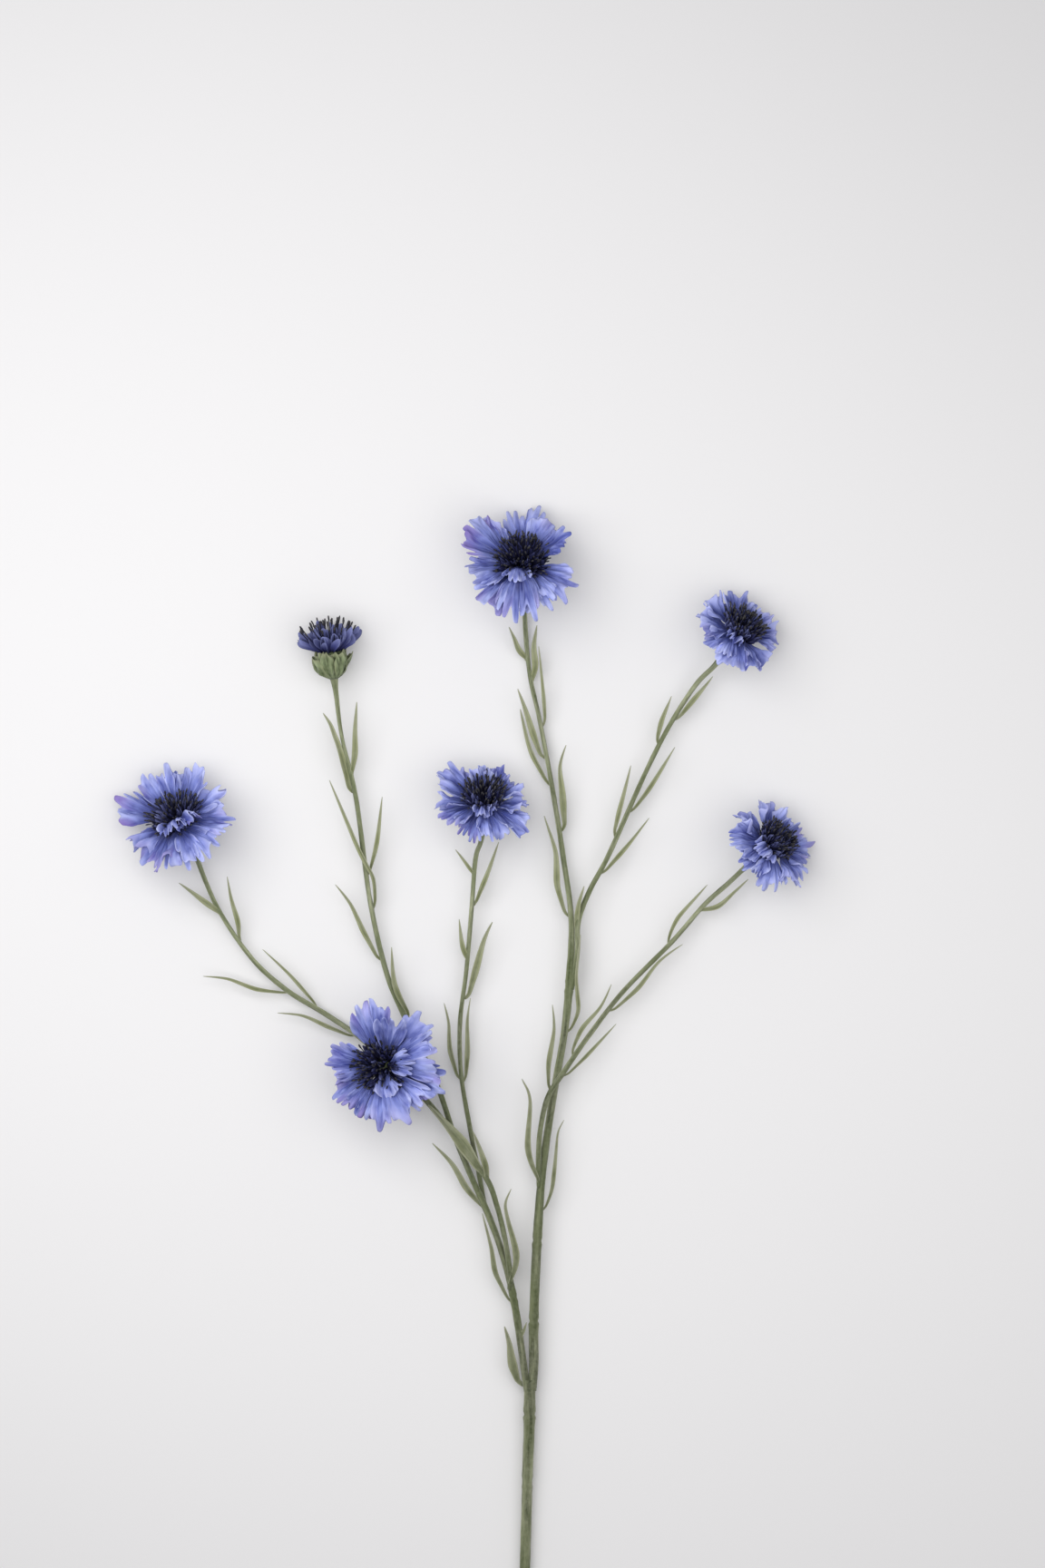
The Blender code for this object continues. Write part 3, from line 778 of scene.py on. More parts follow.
def grow_leaf(name, node, stem, line, half_width, seed):
    """One leaf blade along a midrib, in place of a CAD node."""
    chance = random.Random(seed)
    line = smooth_route(into_stem(line, stem), LEAF_STEP)
    frames = frames_along(line)
    last = len(line) - 1
    fold = chance.uniform(0.25, 0.55)
    roll = math.radians(chance.uniform(-28, 28))
    wave = chance.uniform(0, math.tau)
    fullness = FULLER.get(node, FULLNESS)

    def on_blade(u, v):
        i = round(v * last)
        centre, side, up = frames[i]
        width = fullness * half_width * min(0.4 + 1.7 * v, 1.0, 0.08 + 1.3 * (1 - v) ** 0.75)
        lean = roll * fade(0.0, 0.3, v) + 0.25 * math.sin(wave + 5 * v)
        out = math.cos(lean) * side + math.sin(lean) * up
        rise = math.cos(lean) * up - math.sin(lean) * side
        offset = 2 * u - 1
        return centre + width * (offset * out + fold * abs(offset) ** 1.5 * rise)

    bm = bmesh.new()
    corners = bent_sheet(bm, LEAF_COLUMNS, last, on_blade)
    # a leaf's paleness comes from the height of its foot, with the painted shade round the forks
    paint(bm, corners, "pale", age_and_fork_shade(from_cut_end(line[0])))
    return finish_piece(name, bm, leaf_skin, node, BLADE, 1)


for number, node in enumerate(leaf_nodes):
    stem = node.rsplit("_leaf_", 1)[0]
    line, half_width = midrib(node, stem)
    grow_leaf(f"{node}_blade", node, stem, line, half_width, number)
print(len(leaf_nodes), "leaves grown")

# %% [markdown]
# The smallest leaves are part of their stem's solid in the frame, so their routes are written here,
# in millimetres from the cut end as the stems' are: half width, height above the floor at the foot
# and at the tip, then the route.  Each is grown by the same function and stands for its stem's
# node, together with the stem's skin.

# %% Small leaves
SMALL_SEED = 100                       # the first seed that the leaves above don't use
SMALL_LEAVES = {
    "right_leader": ((0.8, 2.8, 6, ((-0.9, 401), (-3.6, 404), (-5.0, 407.5), (-7.0, 412))),
                     (0.9, 3.0, 7, ((1.0, 392.8), (2.4, 398), (1.8, 405), (2.9, 412.5)))),
    "upper_right_branch": ((0.7, 6.8, 9.5, ((16.6, 306), (17.0, 310), (17.9, 315), (19.5, 320.5))),),
    "lower_right_branch": ((0.7, 5.6, 8, ((60.4, 312), (67.0, 313.2), (73, 318.6), (77.4, 322.9))),
                           (0.8, 8.0, 8, ((3.2, 217.3), (-0.2, 227.5), (0.5, 245), (-2.4, 252.5)))),
    "left_leader": ((0.6, 5.2, 7, ((-3.2, 160.5), (-1.8, 163.2), (-0.8, 166.5))),
                    (0.9, 5.9, 8, ((-17.0, 208), (-22.0, 214), (-27.0, 222.4), (-34, 229.8)))),
    "inner_branch": ((0.6, 6.0, 8, ((-19.3, 324.5), (-21.9, 328.3), (-25.9, 333.4))),
                     (0.7, 5.1, 7, ((-21.4, 294), (-23.4, 299.2), (-24.6, 308.8)))),
    "bud_branch": ((0.8, 6.8, 10, ((-62.6, 360), (-61.3, 367.4), (-61.2, 376), (-60.6, 385.4))),),
    "left_branch": ((0.8, 4.9, 7, ((-109.2, 311), (-114.2, 314.7), (-123.5, 321.6))),
                    (0.7, 4.8, 8, ((-102.4, 302.5), (-102.8, 308), (-105, 316), (-106.4, 323.8))),
                    (0.9, 7.8, 9.5, ((-6.6, 181), (-4.3, 190), (-7.6, 204), (-8.2, 209), (-6.2, 213.8))),
                    (0.9, 8.0, 11, ((-14.6, 216.4), (-15.4, 222), (-17.3, 228), (-19.6, 234.2))),
                    (1.7, 9.0, 8.2, ((-17.5, 221), (-23, 228.8), (-29, 236), (-35.5, 243.4)))),
}
grown = 0
for stem, leaves in SMALL_LEAVES.items():
    for half_width, foot, tip, points in leaves:
        count = len(points) - 1
        line = [(Vector((*p, foot + (tip - foot) * i / count)) + ORIGIN) * MM
                for i, p in enumerate(points)]
        grown += 1
        grow_leaf(f"{stem}_small_leaf_{grown}", stem, stem, line, half_width * MM,
                  SMALL_SEED + grown)
print(grown, "small leaves grown")

# %% [markdown]
# ## Involucres
#
# The green urn under a head is the receptacle wrapped in bracts that overlap like roof tiles.  The
# receptacle is a profile of heights and radii, spun round the head's axis and closed at both ends.
# An open head has a narrow-necked urn; the half-open one is a cup.

# %% Receptacles
SPIN_STEPS = 20
# painted shade: the receptacle takes the darkest point of the bract finish, so where it shows between
# the bracts it reads as shade
GAP_SHADE_UV = (0.5, 0.4)                   # the dark middle of a bract, which shows in the gaps
URN = ((0, 1.5), (1.2, 3.0), (3.0, 4.4), (5.4, 4.8), (8.0, 4.3), (10.2, 3.7))
CUP = ((0, 1.5), (0.8, 2.6), (2.4, 3.5), (5.0, 4.4), (8.0, 5.0), (9.6, 5.2))


def urn_radius(profile, height):
    """The radius of an urn at a height, in millimetres."""
    for (low, near), (high, far) in zip(profile, profile[1:]):
        if height <= high:
            return near + (far - near) * max(0.0, height - low) / (high - low)
    return profile[-1][1]


def spin_core(bm, profile, head):
    """The smooth body of an urn, spun round the head's axis and closed at both ends."""
    chain = [bm.verts.new(head.place(0, 0, profile[0][0]))]
    chain += [bm.verts.new(head.place(radius - 0.25 - 0.06 * height, 0, height))
              for height, radius in profile]
    chain.append(bm.verts.new(head.place(0, 0, profile[-1][0])))
    edges = [bm.edges.new(pair) for pair in zip(chain, chain[1:])]
    bmesh.ops.spin(bm, geom=chain + edges, cent=head.foot, axis=head.axis, angle=math.tau,
                   steps=SPIN_STEPS, use_merge=True)
    bmesh.ops.remove_doubles(bm, verts=bm.verts, dist=0.02 * MM)
    # painted shade: the whole receptacle gets that dark point and no pale, so its green stays dark
    uv = bm.loops.layers.uv.verify()
    for face in bm.faces:
        for loop in face.loops:
            loop[uv].uv = GAP_SHADE_UV


print("widest at", max(radius for _, radius in URN), "and", max(radius for _, radius in CUP), "mm")

# %% [markdown]
# A bract is a small sheet laid on that core.  On an open head it is widest below its middle, comes
# to a point and lifts a little at the tip, and a golden-angle spiral spaces the bracts, as it does
# on the plant.  On the half-open head the bracts are broad, crumpled and loose: every second one
# stands off the cup, the ones on its left bulge and the ones on its right curl out at the lip.  Their
# creases carry painted light on the ridges and painted shade in the hollows, and the tucked bracts
# are painted darker as shade in the grooves between the standing ones.

# %% Bracts
GOLDEN = math.pi * (3 - math.sqrt(5))
SCALES = 48                            # bracts to an open head
BRACT_HALF_ANGLE = 0.42                # in radians, of every bract
SCALE_LIFT = 0.35                      # how far a scale's tip stands off, in millimetres
SCALE_RUFFLE = 0.05
RUFFLED = 14                           # bracts of the half-open head
BRACT_WALL = 0.18 * MM


def ruffled_bract(bm, head, turn, length, stand, lip, shade_tone, chance):
    """One broad, crumpled bract of the half-open head, standing off the cup and lipped at its top."""
    phase = chance.uniform(0, math.tau)
    tones = []

    def on_bract(u, v):
        offset = 2 * u - 1
        shape = 0.55 + 0.57 * fade(0.0, 0.45, v) - 0.45 * fade(0.75, 1.0, v) ** 2
        height = 0.1 + length * v * (1 - 0.15 * offset * offset - 0.04 * math.cos(15 * u + phase))
        angle = turn + offset * BRACT_HALF_ANGLE * shape
        crease = math.sin(phase + 10 * u) + 0.7 * math.sin(2 * phase + 9 * v + 6 * u)
        radius = urn_radius(CUP, min(height, CUP[-1][0])) + stand * fade(0, 0.3, v) - 0.5 * offset ** 4
        radius += 0.5 * math.sin(math.pi * v) + lip * v ** 3 + 0.45 * fade(0, 0.35, v) * crease
        edge = abs(offset) ** 3
        # painted light on the crease ridges and painted shade in the hollows, over the bract's base
        # shade; paler towards the tip and edges
        tones.append(clamp(shade_tone + 0.42 * crease + 0.4 * v ** 4 + 0.3 * edge))
        return head.place(radius * math.cos(angle), radius * math.sin(angle), height)

    paint(bm, bent_sheet(bm, 14, 12, on_bract), "pale", tones)


def scale_bract(bm, head, turn, base, length, chance):
    """One bract of an open head, its foot at the height of its base."""
    phase = chance.uniform(0, math.tau)

    def on_bract(u, v):
        height = base + length * v
        shape = math.sin(math.pi * min(1.0, 0.22 + 0.9 * v)) ** 0.7 * (1 - v ** 4) + 0.05
        angle = turn + (2 * u - 1) * BRACT_HALF_ANGLE * shape
        radius = urn_radius(URN, min(height, URN[-1][0])) + 0.15 + 0.35 * (1 - abs(2 * u - 1))
        radius += SCALE_LIFT * v ** 2 + SCALE_RUFFLE * v * math.sin(phase + 9 * u)
        return head.place(radius * math.cos(angle), radius * math.sin(angle), height)

    paint(bm, bent_sheet(bm, 6, 6, on_bract), "pale", 0.35)


print(SCALES, "scales to an open head,", RUFFLED, "ruffled bracts to the half-open one")

# %% [markdown]
# The receptacle and its bracts are two pieces that stand for one CAD node together.  The ruffled
# bracts are subdivided once; the scales are too small to need it.

# %% Grow the involucres


def grow_involucre(name, half_open):
    """A head's receptacle and its bracts."""
    head = heads[name]
    chance = random.Random(f"{name} bracts")
    core = bmesh.new()
    spin_core(core, CUP if half_open else URN, head)
    bmesh.ops.recalc_face_normals(core, faces=core.faces)
    for face in core.faces:
        face.smooth = True
    finish_piece(f"{name}_receptacle", core, bract_skin, f"{name}_involucre")
    bm = bmesh.new()
    if half_open:
        for k in range(RUFFLED):
            turn = math.tau * k / RUFFLED + chance.uniform(-0.1, 0.1)
            if k % 2:
                # the tucked bracts are painted darkest: painted shade in the grooves between the
                # standing ones
                ruffled_bract(bm, head, turn, chance.uniform(9.4, 10.2), 0.0, 0.2, 0.0, chance)
            else:
                right = math.cos(turn)
                bulge = 0.4 + 1.5 * max(0, -right) ** 2
                length = chance.uniform(8.0, 10.2)
                lip = chance.uniform(0.2, 0.9) + 1.9 * max(0, right) ** 3
                ruffled_bract(bm, head, turn, length, bulge, lip, 0.20, chance)
    else:
        for k in range(SCALES):
            scale_bract(bm, head, GOLDEN * k, 0.1 + 7.4 * k / (SCALES - 1),
                        chance.uniform(2.6, 3.4), chance)
    return finish_piece(f"{name}_bracts", bm, bract_skin, f"{name}_involucre",
                        BRACT_WALL, 1 if half_open else 0)


for name in HEADS:
    made = grow_involucre(name, name == "half_open")
    print(made.name, len(made.data.polygons), "faces")

# %% [markdown]
# ## Disc florets and stamens
#
# The dark middle is a tuft of small florets.  They stand close on the receptacle and lean outwards
# towards its rim, so their tips make a dome.  The numbers for each head say how wide and how high
# the dome is and how blue it looks: the large heads are near black, the small ones half blue, and
# the half-open one is mostly blue.  All of it is in the head's own space, in millimetres.

# %% Tuft sizes
SEAT_RADIUS = 4.6                      # radius of the ring that the outermost florets stand on
SEAT = 10.0                            # height of the florets' feet above the involucre's foot
TUFTS = {  # reach, height of the dome, lean of the outermost in degrees, half width, share of blue
    "top": (11.3, 9.2, 58, 0.92, 0.10), "front": (11.0, 8.8, 58, 0.92, 0.16),
    "left": (9.8, 9.4, 52, 0.74, 0.50), "inner": (7.3, 10.6, 36, 0.72, 0.58),
    "upper_right": (7.3, 9.6, 37, 0.72, 0.58), "lower_right": (7.0, 9.4, 36, 0.72, 0.62),
    "half_open": (12.0, 12.2, 50, 1.6, 0.60),
}


def stalk_frame(turn, seat_radius, lean):
    """Where a floret stands: its foot, outward, sideways and along, in the head's own space."""
    out = Vector((math.cos(turn), math.sin(turn), 0))
    side = Vector((-math.sin(turn), math.cos(turn), 0))
    along = math.cos(lean) * Vector((0, 0, 1)) + math.sin(lean) * out
    away = math.cos(lean) * out - math.sin(lean) * Vector((0, 0, 1))
    return out * seat_radius + Vector((0, 0, SEAT)), away, side, along


for name, (reach, dome, *_) in TUFTS.items():
    print(name, "is", 2 * reach, "mm across and", dome, "mm high")

# %% [markdown]
# A disc floret is a narrow, cupped strap of a few faces, bent to one side and blunt at its end.  The
# half-open head's are broad and round, because there they are all the blue that shows.  A stamen is
# a thin four-sided rod that swells to a blunt, paler knob.  An open head has more than a hundred of
# each, so each stays very simple.

# %% Disc florets and stamens
STRAP_CROWD, STAMEN_CROWD = 0.45, 0.5  # 0.5 spaces them evenly, less crowds them towards the rim
STRAP_WANDER, STAMEN_WANDER = 0.18, 0.25   # how far their lean strays, in radians


def strap(bm, head, stalk, length, half_width, blunt, pale, chance):
    """One disc floret, curved outwards and cupped; blunt is 1 for a broad, round end."""
    foot, away, side, along = stalk
    curl = chance.uniform(-0.1, 0.55)
    slip = chance.uniform(-0.3, 0.3)
    facing = chance.uniform(-1.2, 1.2)
    across = math.cos(facing) * side + math.sin(facing) * away
    deep = math.cos(facing) * away - math.sin(facing) * side
    crinkle = chance.uniform(0, math.tau)

    def on_strap(u, v):
        offset = 2 * u - 1
        width = half_width * (0.36 + 0.86 * v) * (1 - (0.68 - 0.3 * blunt) * v ** 8)
        tip = length * (v - (0.10 + 0.05 * blunt) * v * offset * offset)
        spot = foot + along * tip + away * curl * length * 0.35 * v * v
        spot += side * slip * length * v * v + across * offset * width
        spot += deep * (0.75 * width * offset * offset + 0.2 * v * math.sin(crinkle + 5 * v + 3 * u))
        return head.place(*spot)

    corners = bent_sheet(bm, 4, 6, on_strap)
    paint(bm, corners, "pale", pale)


def stamen(bm, head, stalk, length, sway, chance):
    """One stamen: a four-sided rod with a blunt knob at its tip, bent by no more than the sway."""
    foot, away, side, along = stalk
    bend = chance.uniform(-0.8, 1) * sway
    slip = chance.uniform(-1, 1) * sway

    def on_rod(u, v):
        v = 1 - (1 - v) ** 1.6
        radius = 0.16 + 0.19 * fade(0.78, 0.90, v) - 0.22 * fade(0.96, 1.0, v)
        angle = math.tau * (round(u * 4) % 4) / 4
        spot = foot + along * length * v + (away * bend + side * slip) * length * 0.4 * v * v
        spot += radius * (math.cos(angle) * side + math.sin(angle) * away)
        return head.place(*spot)

    bent_sheet(bm, 4, 8, on_rod)


def place_in_tuft(tuft, k, count, crowd, wander, chance):
    """Turn, share of the way out, lean and longest length of number k of count florets."""
    reach, dome, lean_most = tuft[:3]
    share = ((k + 0.5) / count) ** crowd
    lean = math.radians(lean_most) * share + chance.uniform(-wander, wander)
    rim = (reach - SEAT_RADIUS * share) / max(0.3, math.sin(lean))
    return (GOLDEN * k + chance.uniform(-0.2, 0.2), share, lean,
            min(rim, dome * (1 - 0.15 * share)))


print("a floret in the middle of the top head may be",
      round(place_in_tuft(TUFTS["top"], 0, 150, STRAP_CROWD, 0, random.Random(0))[3], 1), "mm long")

# %% [markdown]
# A golden-angle spiral again gives each floret its place, a little more crowded towards the rim, and
# random numbers break it up.  The florets are one piece and the stamens another, and both stand for the
# head's disc in the frame.  The rods' ends are closed; the straps get a wall.

# %% Grow the tufts
COUNTS = {"half_open": (58, 46), "top": (150, 150), "front": (150, 150)}   # florets, stamens
USUAL_COUNTS = (150, 105)
STRAP_WALL = 0.1 * MM


def grow_tuft(name):
    """A head's disc florets and its stamens."""
    head = heads[name]
    tuft = TUFTS[name]
    half_width, blue_share = tuft[3:]
    half_open = name == "half_open"
    chance = random.Random(f"{name} tuft")
    straps, rods = bmesh.new(), bmesh.new()
    strap_count, stamen_count = COUNTS.get(name, USUAL_COUNTS)
    for k in range(strap_count):
        turn, share, lean, length = place_in_tuft(tuft, k, strap_count, STRAP_CROWD,
                                                  STRAP_WANDER, chance)
        pale = chance.uniform(0.0, 0.22) + chance.uniform(0.3, 0.7) * (chance.random() < blue_share)
        if half_open:
            pale += chance.uniform(0.3, 0.9)
        strap(straps, head, stalk_frame(turn, SEAT_RADIUS * share, lean),
              length * chance.uniform(0.66, 0.98), half_width * chance.uniform(0.7, 1.15),
              float(half_open), pale, chance)
    for k in range(stamen_count):
        turn, share, lean, length = place_in_tuft(tuft, k, stamen_count, STAMEN_CROWD,
                                                  STAMEN_WANDER, chance)
        if half_open:
            lean *= 0.75
        length = (length + 0.8) * chance.uniform(0.84, 1.04)
        stamen(rods, head, stalk_frame(turn + 0.5 * GOLDEN, SEAT_RADIUS * share, lean), length,
               0.2 if half_open else 0.6, chance)
    disc = f"{name}_disc_florets"
    bmesh.ops.remove_doubles(rods, verts=rods.verts, dist=1e-6)
    bmesh.ops.holes_fill(rods, edges=[edge for edge in rods.edges if edge.is_boundary], sides=4)
    bmesh.ops.recalc_face_normals(rods, faces=rods.faces)
    finish_piece(f"{name}_stamens", rods, stamen_dark, disc)
    return finish_piece(f"{name}_tube_florets", straps, tube_indigo, disc,
                        STRAP_WALL, 1 if half_open else 0)


for name in HEADS:
    made = grow_tuft(name)
    print(made.name, len(made.data.polygons), "faces")

# %% [markdown]
# ## Ray florets
#
# The blue skirt is a ring of about a dozen large, sterile florets.  Each is a narrow tube that opens
# into a broad fan and is cut at its edge into lobes like blunt fingers.
#
# For every head a list says how the florets stand: the direction seen from above in degrees, the
# reach from the axis in millimetres, the angle at which the floret leaves the head and how far it
# bends on its way, the width of its fan in degrees, how much it is curved across, how pale it is
# and how violet its lobes are.  A floret with a short reach and a strong bend is one that curls
# over the edge of the disc.

# %% Ray floret lists
RAYS = {
    "top": ((84, 25, 16, -10, 66, 0.3, 0.75, 0.0), (50, 20, 26, -4, 56, 0.5, 0.9, 0.3),
            (16, 20, 40, -22, 56, 0.8, 0.0, 0.1), (-32, 25.5, 12, -18, 76, -0.3, 0.5, 0.1),
            (-60, 26, 20, -44, 62, -0.4, 0.75, 0.0), (-92, 30, 42, -84, 62, -0.7, 0.4, 0.4),
            (-124, 27, 16, -32, 62, -0.3, 0.5, 0.5), (-157, 23, 24, -26, 70, 0.6, 0.5, 0.1),
            (166, 22.5, 36, 0, 62, 0.4, 0.4, 0.7), (146, 19.5, 30, 6, 48, 0.5, 0.7, 0.2),
            (-97, 15.5, 66, -84, 70, -0.6, 0.35, 0.0)),
    "front": ((104, 26, 22, -14, 62, 0.5, 0.45, 0.4), (68, 22, 40, -10, 50, 0.8, 0.35, 0.0),
              (42, 26.5, 24, -20, 66, 0.4, 0.7, 0.0), (14, 25, 46, -62, 78, -0.4, 0.75, 0.2),
              (-22, 26.5, 14, -16, 62, -0.3, 0.4, 0.5), (-47, 24, 18, -28, 60, 0.4, 0.8, 0.1),
              (-76, 25, 50, -80, 74, -0.6, 0.7, 0.25), (-112, 23, 14, -18, 66, 0.3, 0.0, 0.7),
              (-140, 22, 22, -26, 70, 0.5, 0.4, 0.5), (176, 21, 26, -12, 72, 0.5, 0.25, 0.2),
              (8, 15, 72, -70, 60, -0.5, 0.6, 0.0), (-70, 14.5, 72, -76, 66, -0.5, 0.7, 0.1)),
    "left": ((128, 20, 30, 0, 64, 0.6, 0.55, 0.4), (96, 20, 34, 4, 46, 0.4, 0.7, 0.0),
             (62, 21.5, 26, -6, 78, 0.3, 0.8, 0.0), (26, 22, 14, -12, 60, 0.5, 0.55, 0.1),
             (0, 23, 6, -18, 64, 0.3, 0.5, 0.3), (-48, 23.5, 10, -32, 72, 0.2, 0.85, 0.0),
             (-80, 23, 20, -56, 66, -0.4, 0.55, 0.1), (-118, 23.5, 8, -36, 72, 0.3, 0.3, 0.5),
             (-150, 22, 12, -26, 60, -0.3, 0.45, 0.3), (174, 27.5, 16, -4, 54, 0.2, 0.3, 0.8),
             (-50, 14.5, 86, -90, 78, -0.5, 0.3, 0.0), (-86, 13, 84, -94, 70, -0.5, 0.1, 0.0),
             (-30, 14, 66, -60, 60, -0.4, 0.3, 0.3)),
    "inner": ((163, 17, 34, -10, 80, 0.5, 0.6, 0.1), (120, 9, 62, -4, 56, 0.4, 0.9, 0.0),
              (78, 9.2, 64, -4, 56, 0.4, 0.8, 0.1), (34, 11.5, 48, -6, 70, 0.6, 0.25, 0.1),
              (8, 15, 30, -18, 78, 0.4, 0.45, 0.2), (-24, 19, -6, -10, 64, 0.3, 0.5, 0.1),
              (-58, 13, -14, -42, 92, 0.3, 0.9, 0.0), (-122, 13, -14, -42, 92, 0.3, 0.35, 0.5),
              (-160, 17, 4, -24, 80, 0.4, 0.5, 0.3), (-96, 9, 62, -120, 80, -0.6, 0.5, 0.0),
              (-70, 8.5, 58, -124, 70, -0.6, 0.2, 0.0), (187, 16.5, 16, -16, 70, 0.4, 0.35, 0.1),
              (-8, 15.5, 12, -16, 66, 0.4, 0.4, 0.1)),
    "upper_right": ((108, 17, 26, -4, 76, 0.5, 0.25, 0.1), (138, 17, 12, -8, 84, 0.4, 0.5, 0.1),
                    (162, 17.5, 2, -14, 84, 0.4, 0.35, 0.2), (198, 14, -8, -34, 96, 0.3, 0.55, 0.0),
                    (-90, 14.5, -12, -42, 84, 0.3, 1.0, 0.1), (-54, 16, 0, -26, 76, 0.3, 0.25, 0.1),
                    (-22, 15, 24, -20, 76, 0.5, 0.35, 0.1), (14, 12, 44, -8, 66, 0.4, 0.55, 0.2),
                    (80, 8.6, 58, -4, 60, 0.4, 0.4, 0.0), (-130, 9.5, 54, -116, 74, -0.6, 0.3, 0.0),
                    (-5, 14, 34, -14, 60, 0.4, 0.3, 0.1)),
    "lower_right": ((84, 13.5, 42, -14, 60, 0.4, 1.0, 0.0), (112, 16, 24, -12, 76, 0.5, 0.5, 0.1),
                    (140, 17.5, 10, -14, 80, 0.5, 0.3, 0.1), (172, 18, 4, -26, 84, 0.3, 0.35, 0.0),
                    (-140, 14.5, -12, -34, 84, 0.3, 0.3, 0.0), (-84, 15, -10, -36, 84, 0.3, 0.9, 0.0),
                    (-52, 17, 6, -24, 76, 0.3, 0.45, 0.1), (-14, 16, 26, -20, 66, 0.4, 0.5, 0.4),
                    (44, 8.6, 58, -4, 60, 0.4, 0.4, 0.0), (-160, 10, 56, -124, 76, -0.7, 0.6, 0.0),
                    (-112, 9.5, 52, -116, 66, -0.5, 0.5, 0.2), (-34, 14.5, 16, -20, 66, 0.4, 0.35, 0.1)),
}
print(sum(len(rays) for rays in RAYS.values()), "ray florets")

# %% [markdown]
# Three small pieces of geometry turn those numbers into a place.  The first finds the direction
# round a leaning head that looks right from above.  The second walks along a line that bends evenly
# as it goes, and the third does the same across the floret.

# %% Bending a floret


def seen_from_above(head, degrees):
    """The direction round a head's axis that points this way when seen from above."""
    want_x, want_y = math.cos(math.radians(degrees)), math.sin(math.radians(degrees))
    return math.atan2(head.x.x * want_y - head.x.y * want_x,
                      want_x * head.y.y - want_y * head.y.x)


def arc_point(start, bend, length, s):
    """Outward and upward travel after s of a line that leaves at start and bends evenly."""
    if abs(bend) < 1e-3:
        return s * math.cos(start), s * math.sin(start), start
    rate = bend / length
    angle = start + rate * s
    return ((math.sin(angle) - math.sin(start)) / rate,
            (math.cos(start) - math.cos(angle)) / rate, angle)


def curved(x, bend):
    """Sideways and upward place of a point x out on a sheet that is curved across."""
    if abs(bend) < 1e-3:
        return x, 0
    return math.sin(bend * x) / bend, (1 - math.cos(bend * x)) / bend


bent = arc_point(0, -math.pi / 3, 20, 20)
print(f"20 mm that bend down by 60 degrees reach {bent[0]:.1f} mm out and {-bent[1]:.1f} mm down")

# %% [markdown]
# What differs from floret to floret is drawn at random once and kept: how many lobes there are, how
# long each is, how it is tipped and turned, how deep the notches go, which lobes have aged to
# violet, and the waves and crumples of the whole fan.

# %% What is each floret's own
LOBE_DEGREES = 8.0                     # width of a lobe, about
LOBE_SQUARENESS = 6                    # a higher power gives blunter lobes and narrower notches
NOTCHES = (0.11, 0.22)                 # how deep they go, as a share of the floret's length
DEPTHS = {"left": 1.4, "front": 1.25, "top": 1.2}   # times that, on the large heads
USUAL_DEPTH = 1.1                      # and on the others


class Fan:
    """One ray floret's own lobes, notches, waves and crumples."""

    def __init__(self, width, depth, violet, chance):
        self.lobes = round(math.degrees(width) / LOBE_DEGREES) + chance.choice((-1, 0, 1))
        notch = chance.uniform(*NOTCHES) * depth
        self.twist = math.radians(chance.uniform(-16, 16))
        self.length = [chance.uniform(0.80, 1.0) for _ in range(self.lobes)]
        self.tip = [chance.uniform(-2.2, 1.8) for _ in range(self.lobes)]
        self.turn = [chance.uniform(-1.0, 1.0) for _ in range(self.lobes)]
        self.notch = [notch * chance.uniform(0.35, 1.6) for _ in range(self.lobes + 1)]
        self.aged = [violet * (chance.random() < 0.55) for _ in range(self.lobes)]
        self.ruffle = chance.uniform(0.8, 1.6)
        self.waves = chance.uniform(1.3, 2.6)
        self.crumple_seed = chance.uniform(0, 100)
        self.phase = chance.uniform(0, math.tau)

    def outline(self, u):
        """The lobe at u, how near its side u is, and how far out the rim is there, as a share."""
        lobe = min(self.lobes - 1, int(u * self.lobes + 1e-6))
        within = u * self.lobes - lobe
        edge = abs(2 * within - 1)
        rounded = 1 - 0.26 * abs(2 * u - 1) ** 2.2
        full = rounded * self.length[lobe]
        cut = rounded * (1 - self.notch[lobe + (within > 0.5)])
        return lobe, edge, full + (min(cut, full) - full) * edge ** LOBE_SQUARENESS

    def creases(self, u, angle, travel):
        """The long waves, the crumples and the fine frill at a point, each up or down from 0."""
        wave = math.sin(self.phase + math.tau * self.waves * (u - 0.5))
        crumple = noise.noise(Vector((angle * 5.5, travel * 0.22, self.crumple_seed)))
        crumple += 0.6 * noise.noise(Vector((angle * 13, travel * 0.4, self.crumple_seed)))
        frill = noise.noise(Vector((angle * 24, travel * 0.7, self.crumple_seed)))
        return wave, crumple, frill


print("a floret 64 degrees wide has about", round(64 / LOBE_DEGREES), "lobes")

# %% [markdown]
# The fan is a sheet laid out in polar rows from the floret's foot.  Columns between two lobes are
# shorter, which cuts the notches, and within a lobe the columns draw together a little towards its
# tip.  Then the sheet is bent along its length, curved across, waved and crumpled, and each lobe is
# tipped its own way, because a flat fan looks like paper.  The folds also set how pale a point is:
# raised folds get painted light and the hollows between them painted shade, and some lobes are
# painted violet.

# %% Grow the ray florets
RAY_SEAT = 2.8                         # radius of the ring that the florets stand on
LOBE_COLUMNS = 6
RAY_ROWS = 12
RAY_WALL = 0.14 * MM
LOBE_PINCH = 0.15                      # how much a lobe draws together towards its tip
CRUMPLE, FRILL = 1.5, 1.0              # how high they stand, in millimetres
SPREAD = {"inner": 1.09, "upper_right": 1.07, "lower_right": 1.09, "top": 0.97, "front": 0.97,
          "left": 0.98}                # how far a head's florets spread beside their list's reach


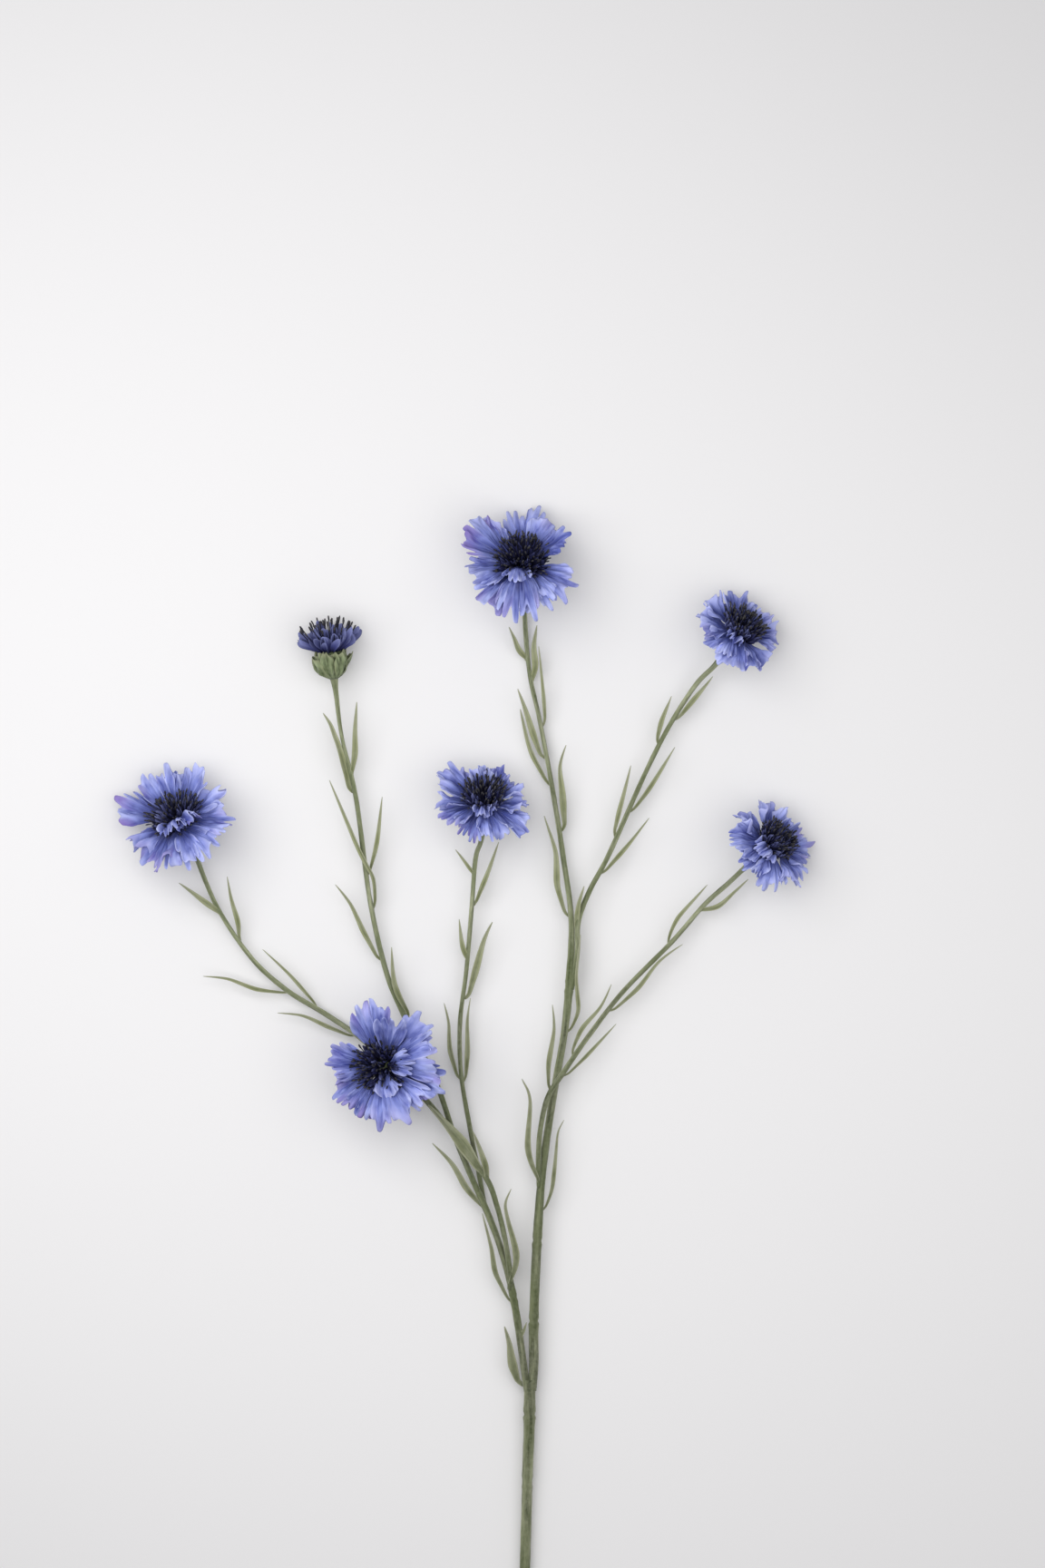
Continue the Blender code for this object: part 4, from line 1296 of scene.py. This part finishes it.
def grow_ray(name, number, head, row, chance):
    """One ray floret of a head."""
    direction, reach, leave, bend, width, cup, pale, violet = row
    azimuth = seen_from_above(head, direction)
    leave, bend, width = (math.radians(a) for a in (leave, bend, width))
    flat = arc_point(leave, bend, 1, 1)[0]
    length = (reach * SPREAD[head.name] - RAY_SEAT) / max(0.55, flat)
    fan = Fan(width, DEPTHS.get(head.name, USUAL_DEPTH), violet, chance)
    tones = {"pale": [], "violet": []}

    def on_ray(u, v):
        lobe, edge, share = fan.outline(u)
        travel = length * share * v
        outer = fade(0.4, 1.0, v)
        middle_angle = ((lobe + 0.5) / fan.lobes - 0.5) * width
        angle = (u - 0.5) * width * (0.36 + 0.64 * fade(0.0, 0.5, v))
        angle += (middle_angle - angle) * LOBE_PINCH * outer * (1 - edge ** 4)
        angle += 0.05 * fan.turn[lobe] * outer * (1 - edge ** 2)
        across, rise_across = curved(travel * math.sin(angle), cup / 9)
        along, up, tilt = arc_point(leave, bend, length, travel * math.cos(angle))
        wave, crumple, frill = fan.creases(u, angle, travel)
        height = rise_across * fade(0.0, 0.5, v)
        height += fan.tip[lobe] * fade(0.55, 1.0, v) ** 2 * (1 - edge ** 3)
        height += fan.ruffle * fade(0.25, 1.0, v) * wave
        height += CRUMPLE * fade(0.2, 0.9, v) * crumple
        height += FRILL * fade(0.6, 1.0, v) * frill
        height += 0.3 * outer * (1 - edge ** 2)
        height += 1.1 * (1 - fade(0.05, 0.5, v)) * fade(0.0, 0.2, v) * (2 * u - 1) ** 2
        roll = fan.twist * v
        x = across * math.cos(roll) - height * math.sin(roll)
        z = across * math.sin(roll) + height * math.cos(roll)
        out = RAY_SEAT + along - z * math.sin(tilt)
        rise = SEAT + 0.3 + up + z * math.cos(tilt)
        c, s = math.cos(azimuth), math.sin(azimuth)
        # painted light on the raised waves, crumples and frills and painted shade in their hollows, over
        # the floret's own paleness
        light = pale + 0.12 + 0.22 * wave + 0.6 * crumple + 0.5 * frill + 0.25 * fade(0.8, 1.0, v)
        tones["pale"].append(clamp(light))
        tones["violet"].append(fan.aged[lobe] * fade(0.62, 1.0, v) * (1 - 0.5 * edge ** 2))
        return head.place(out * c + x * s, out * s - x * c, rise)

    bm = bmesh.new()
    corners = bent_sheet(bm, fan.lobes * LOBE_COLUMNS, RAY_ROWS, on_ray)
    for label, strength in tones.items():
        paint(bm, corners, label, strength)
    return finish_piece(f"{name}_ray_{number}", bm, ray_blue,
                        f"{name}_ray_florets", RAY_WALL, 1)


for name, rays in RAYS.items():
    chance = random.Random(f"{name} rays")
    for number, row in enumerate(rays, 1):
        grow_ray(name, number, heads[name], row, chance)
    print(name, len(rays), "ray florets")
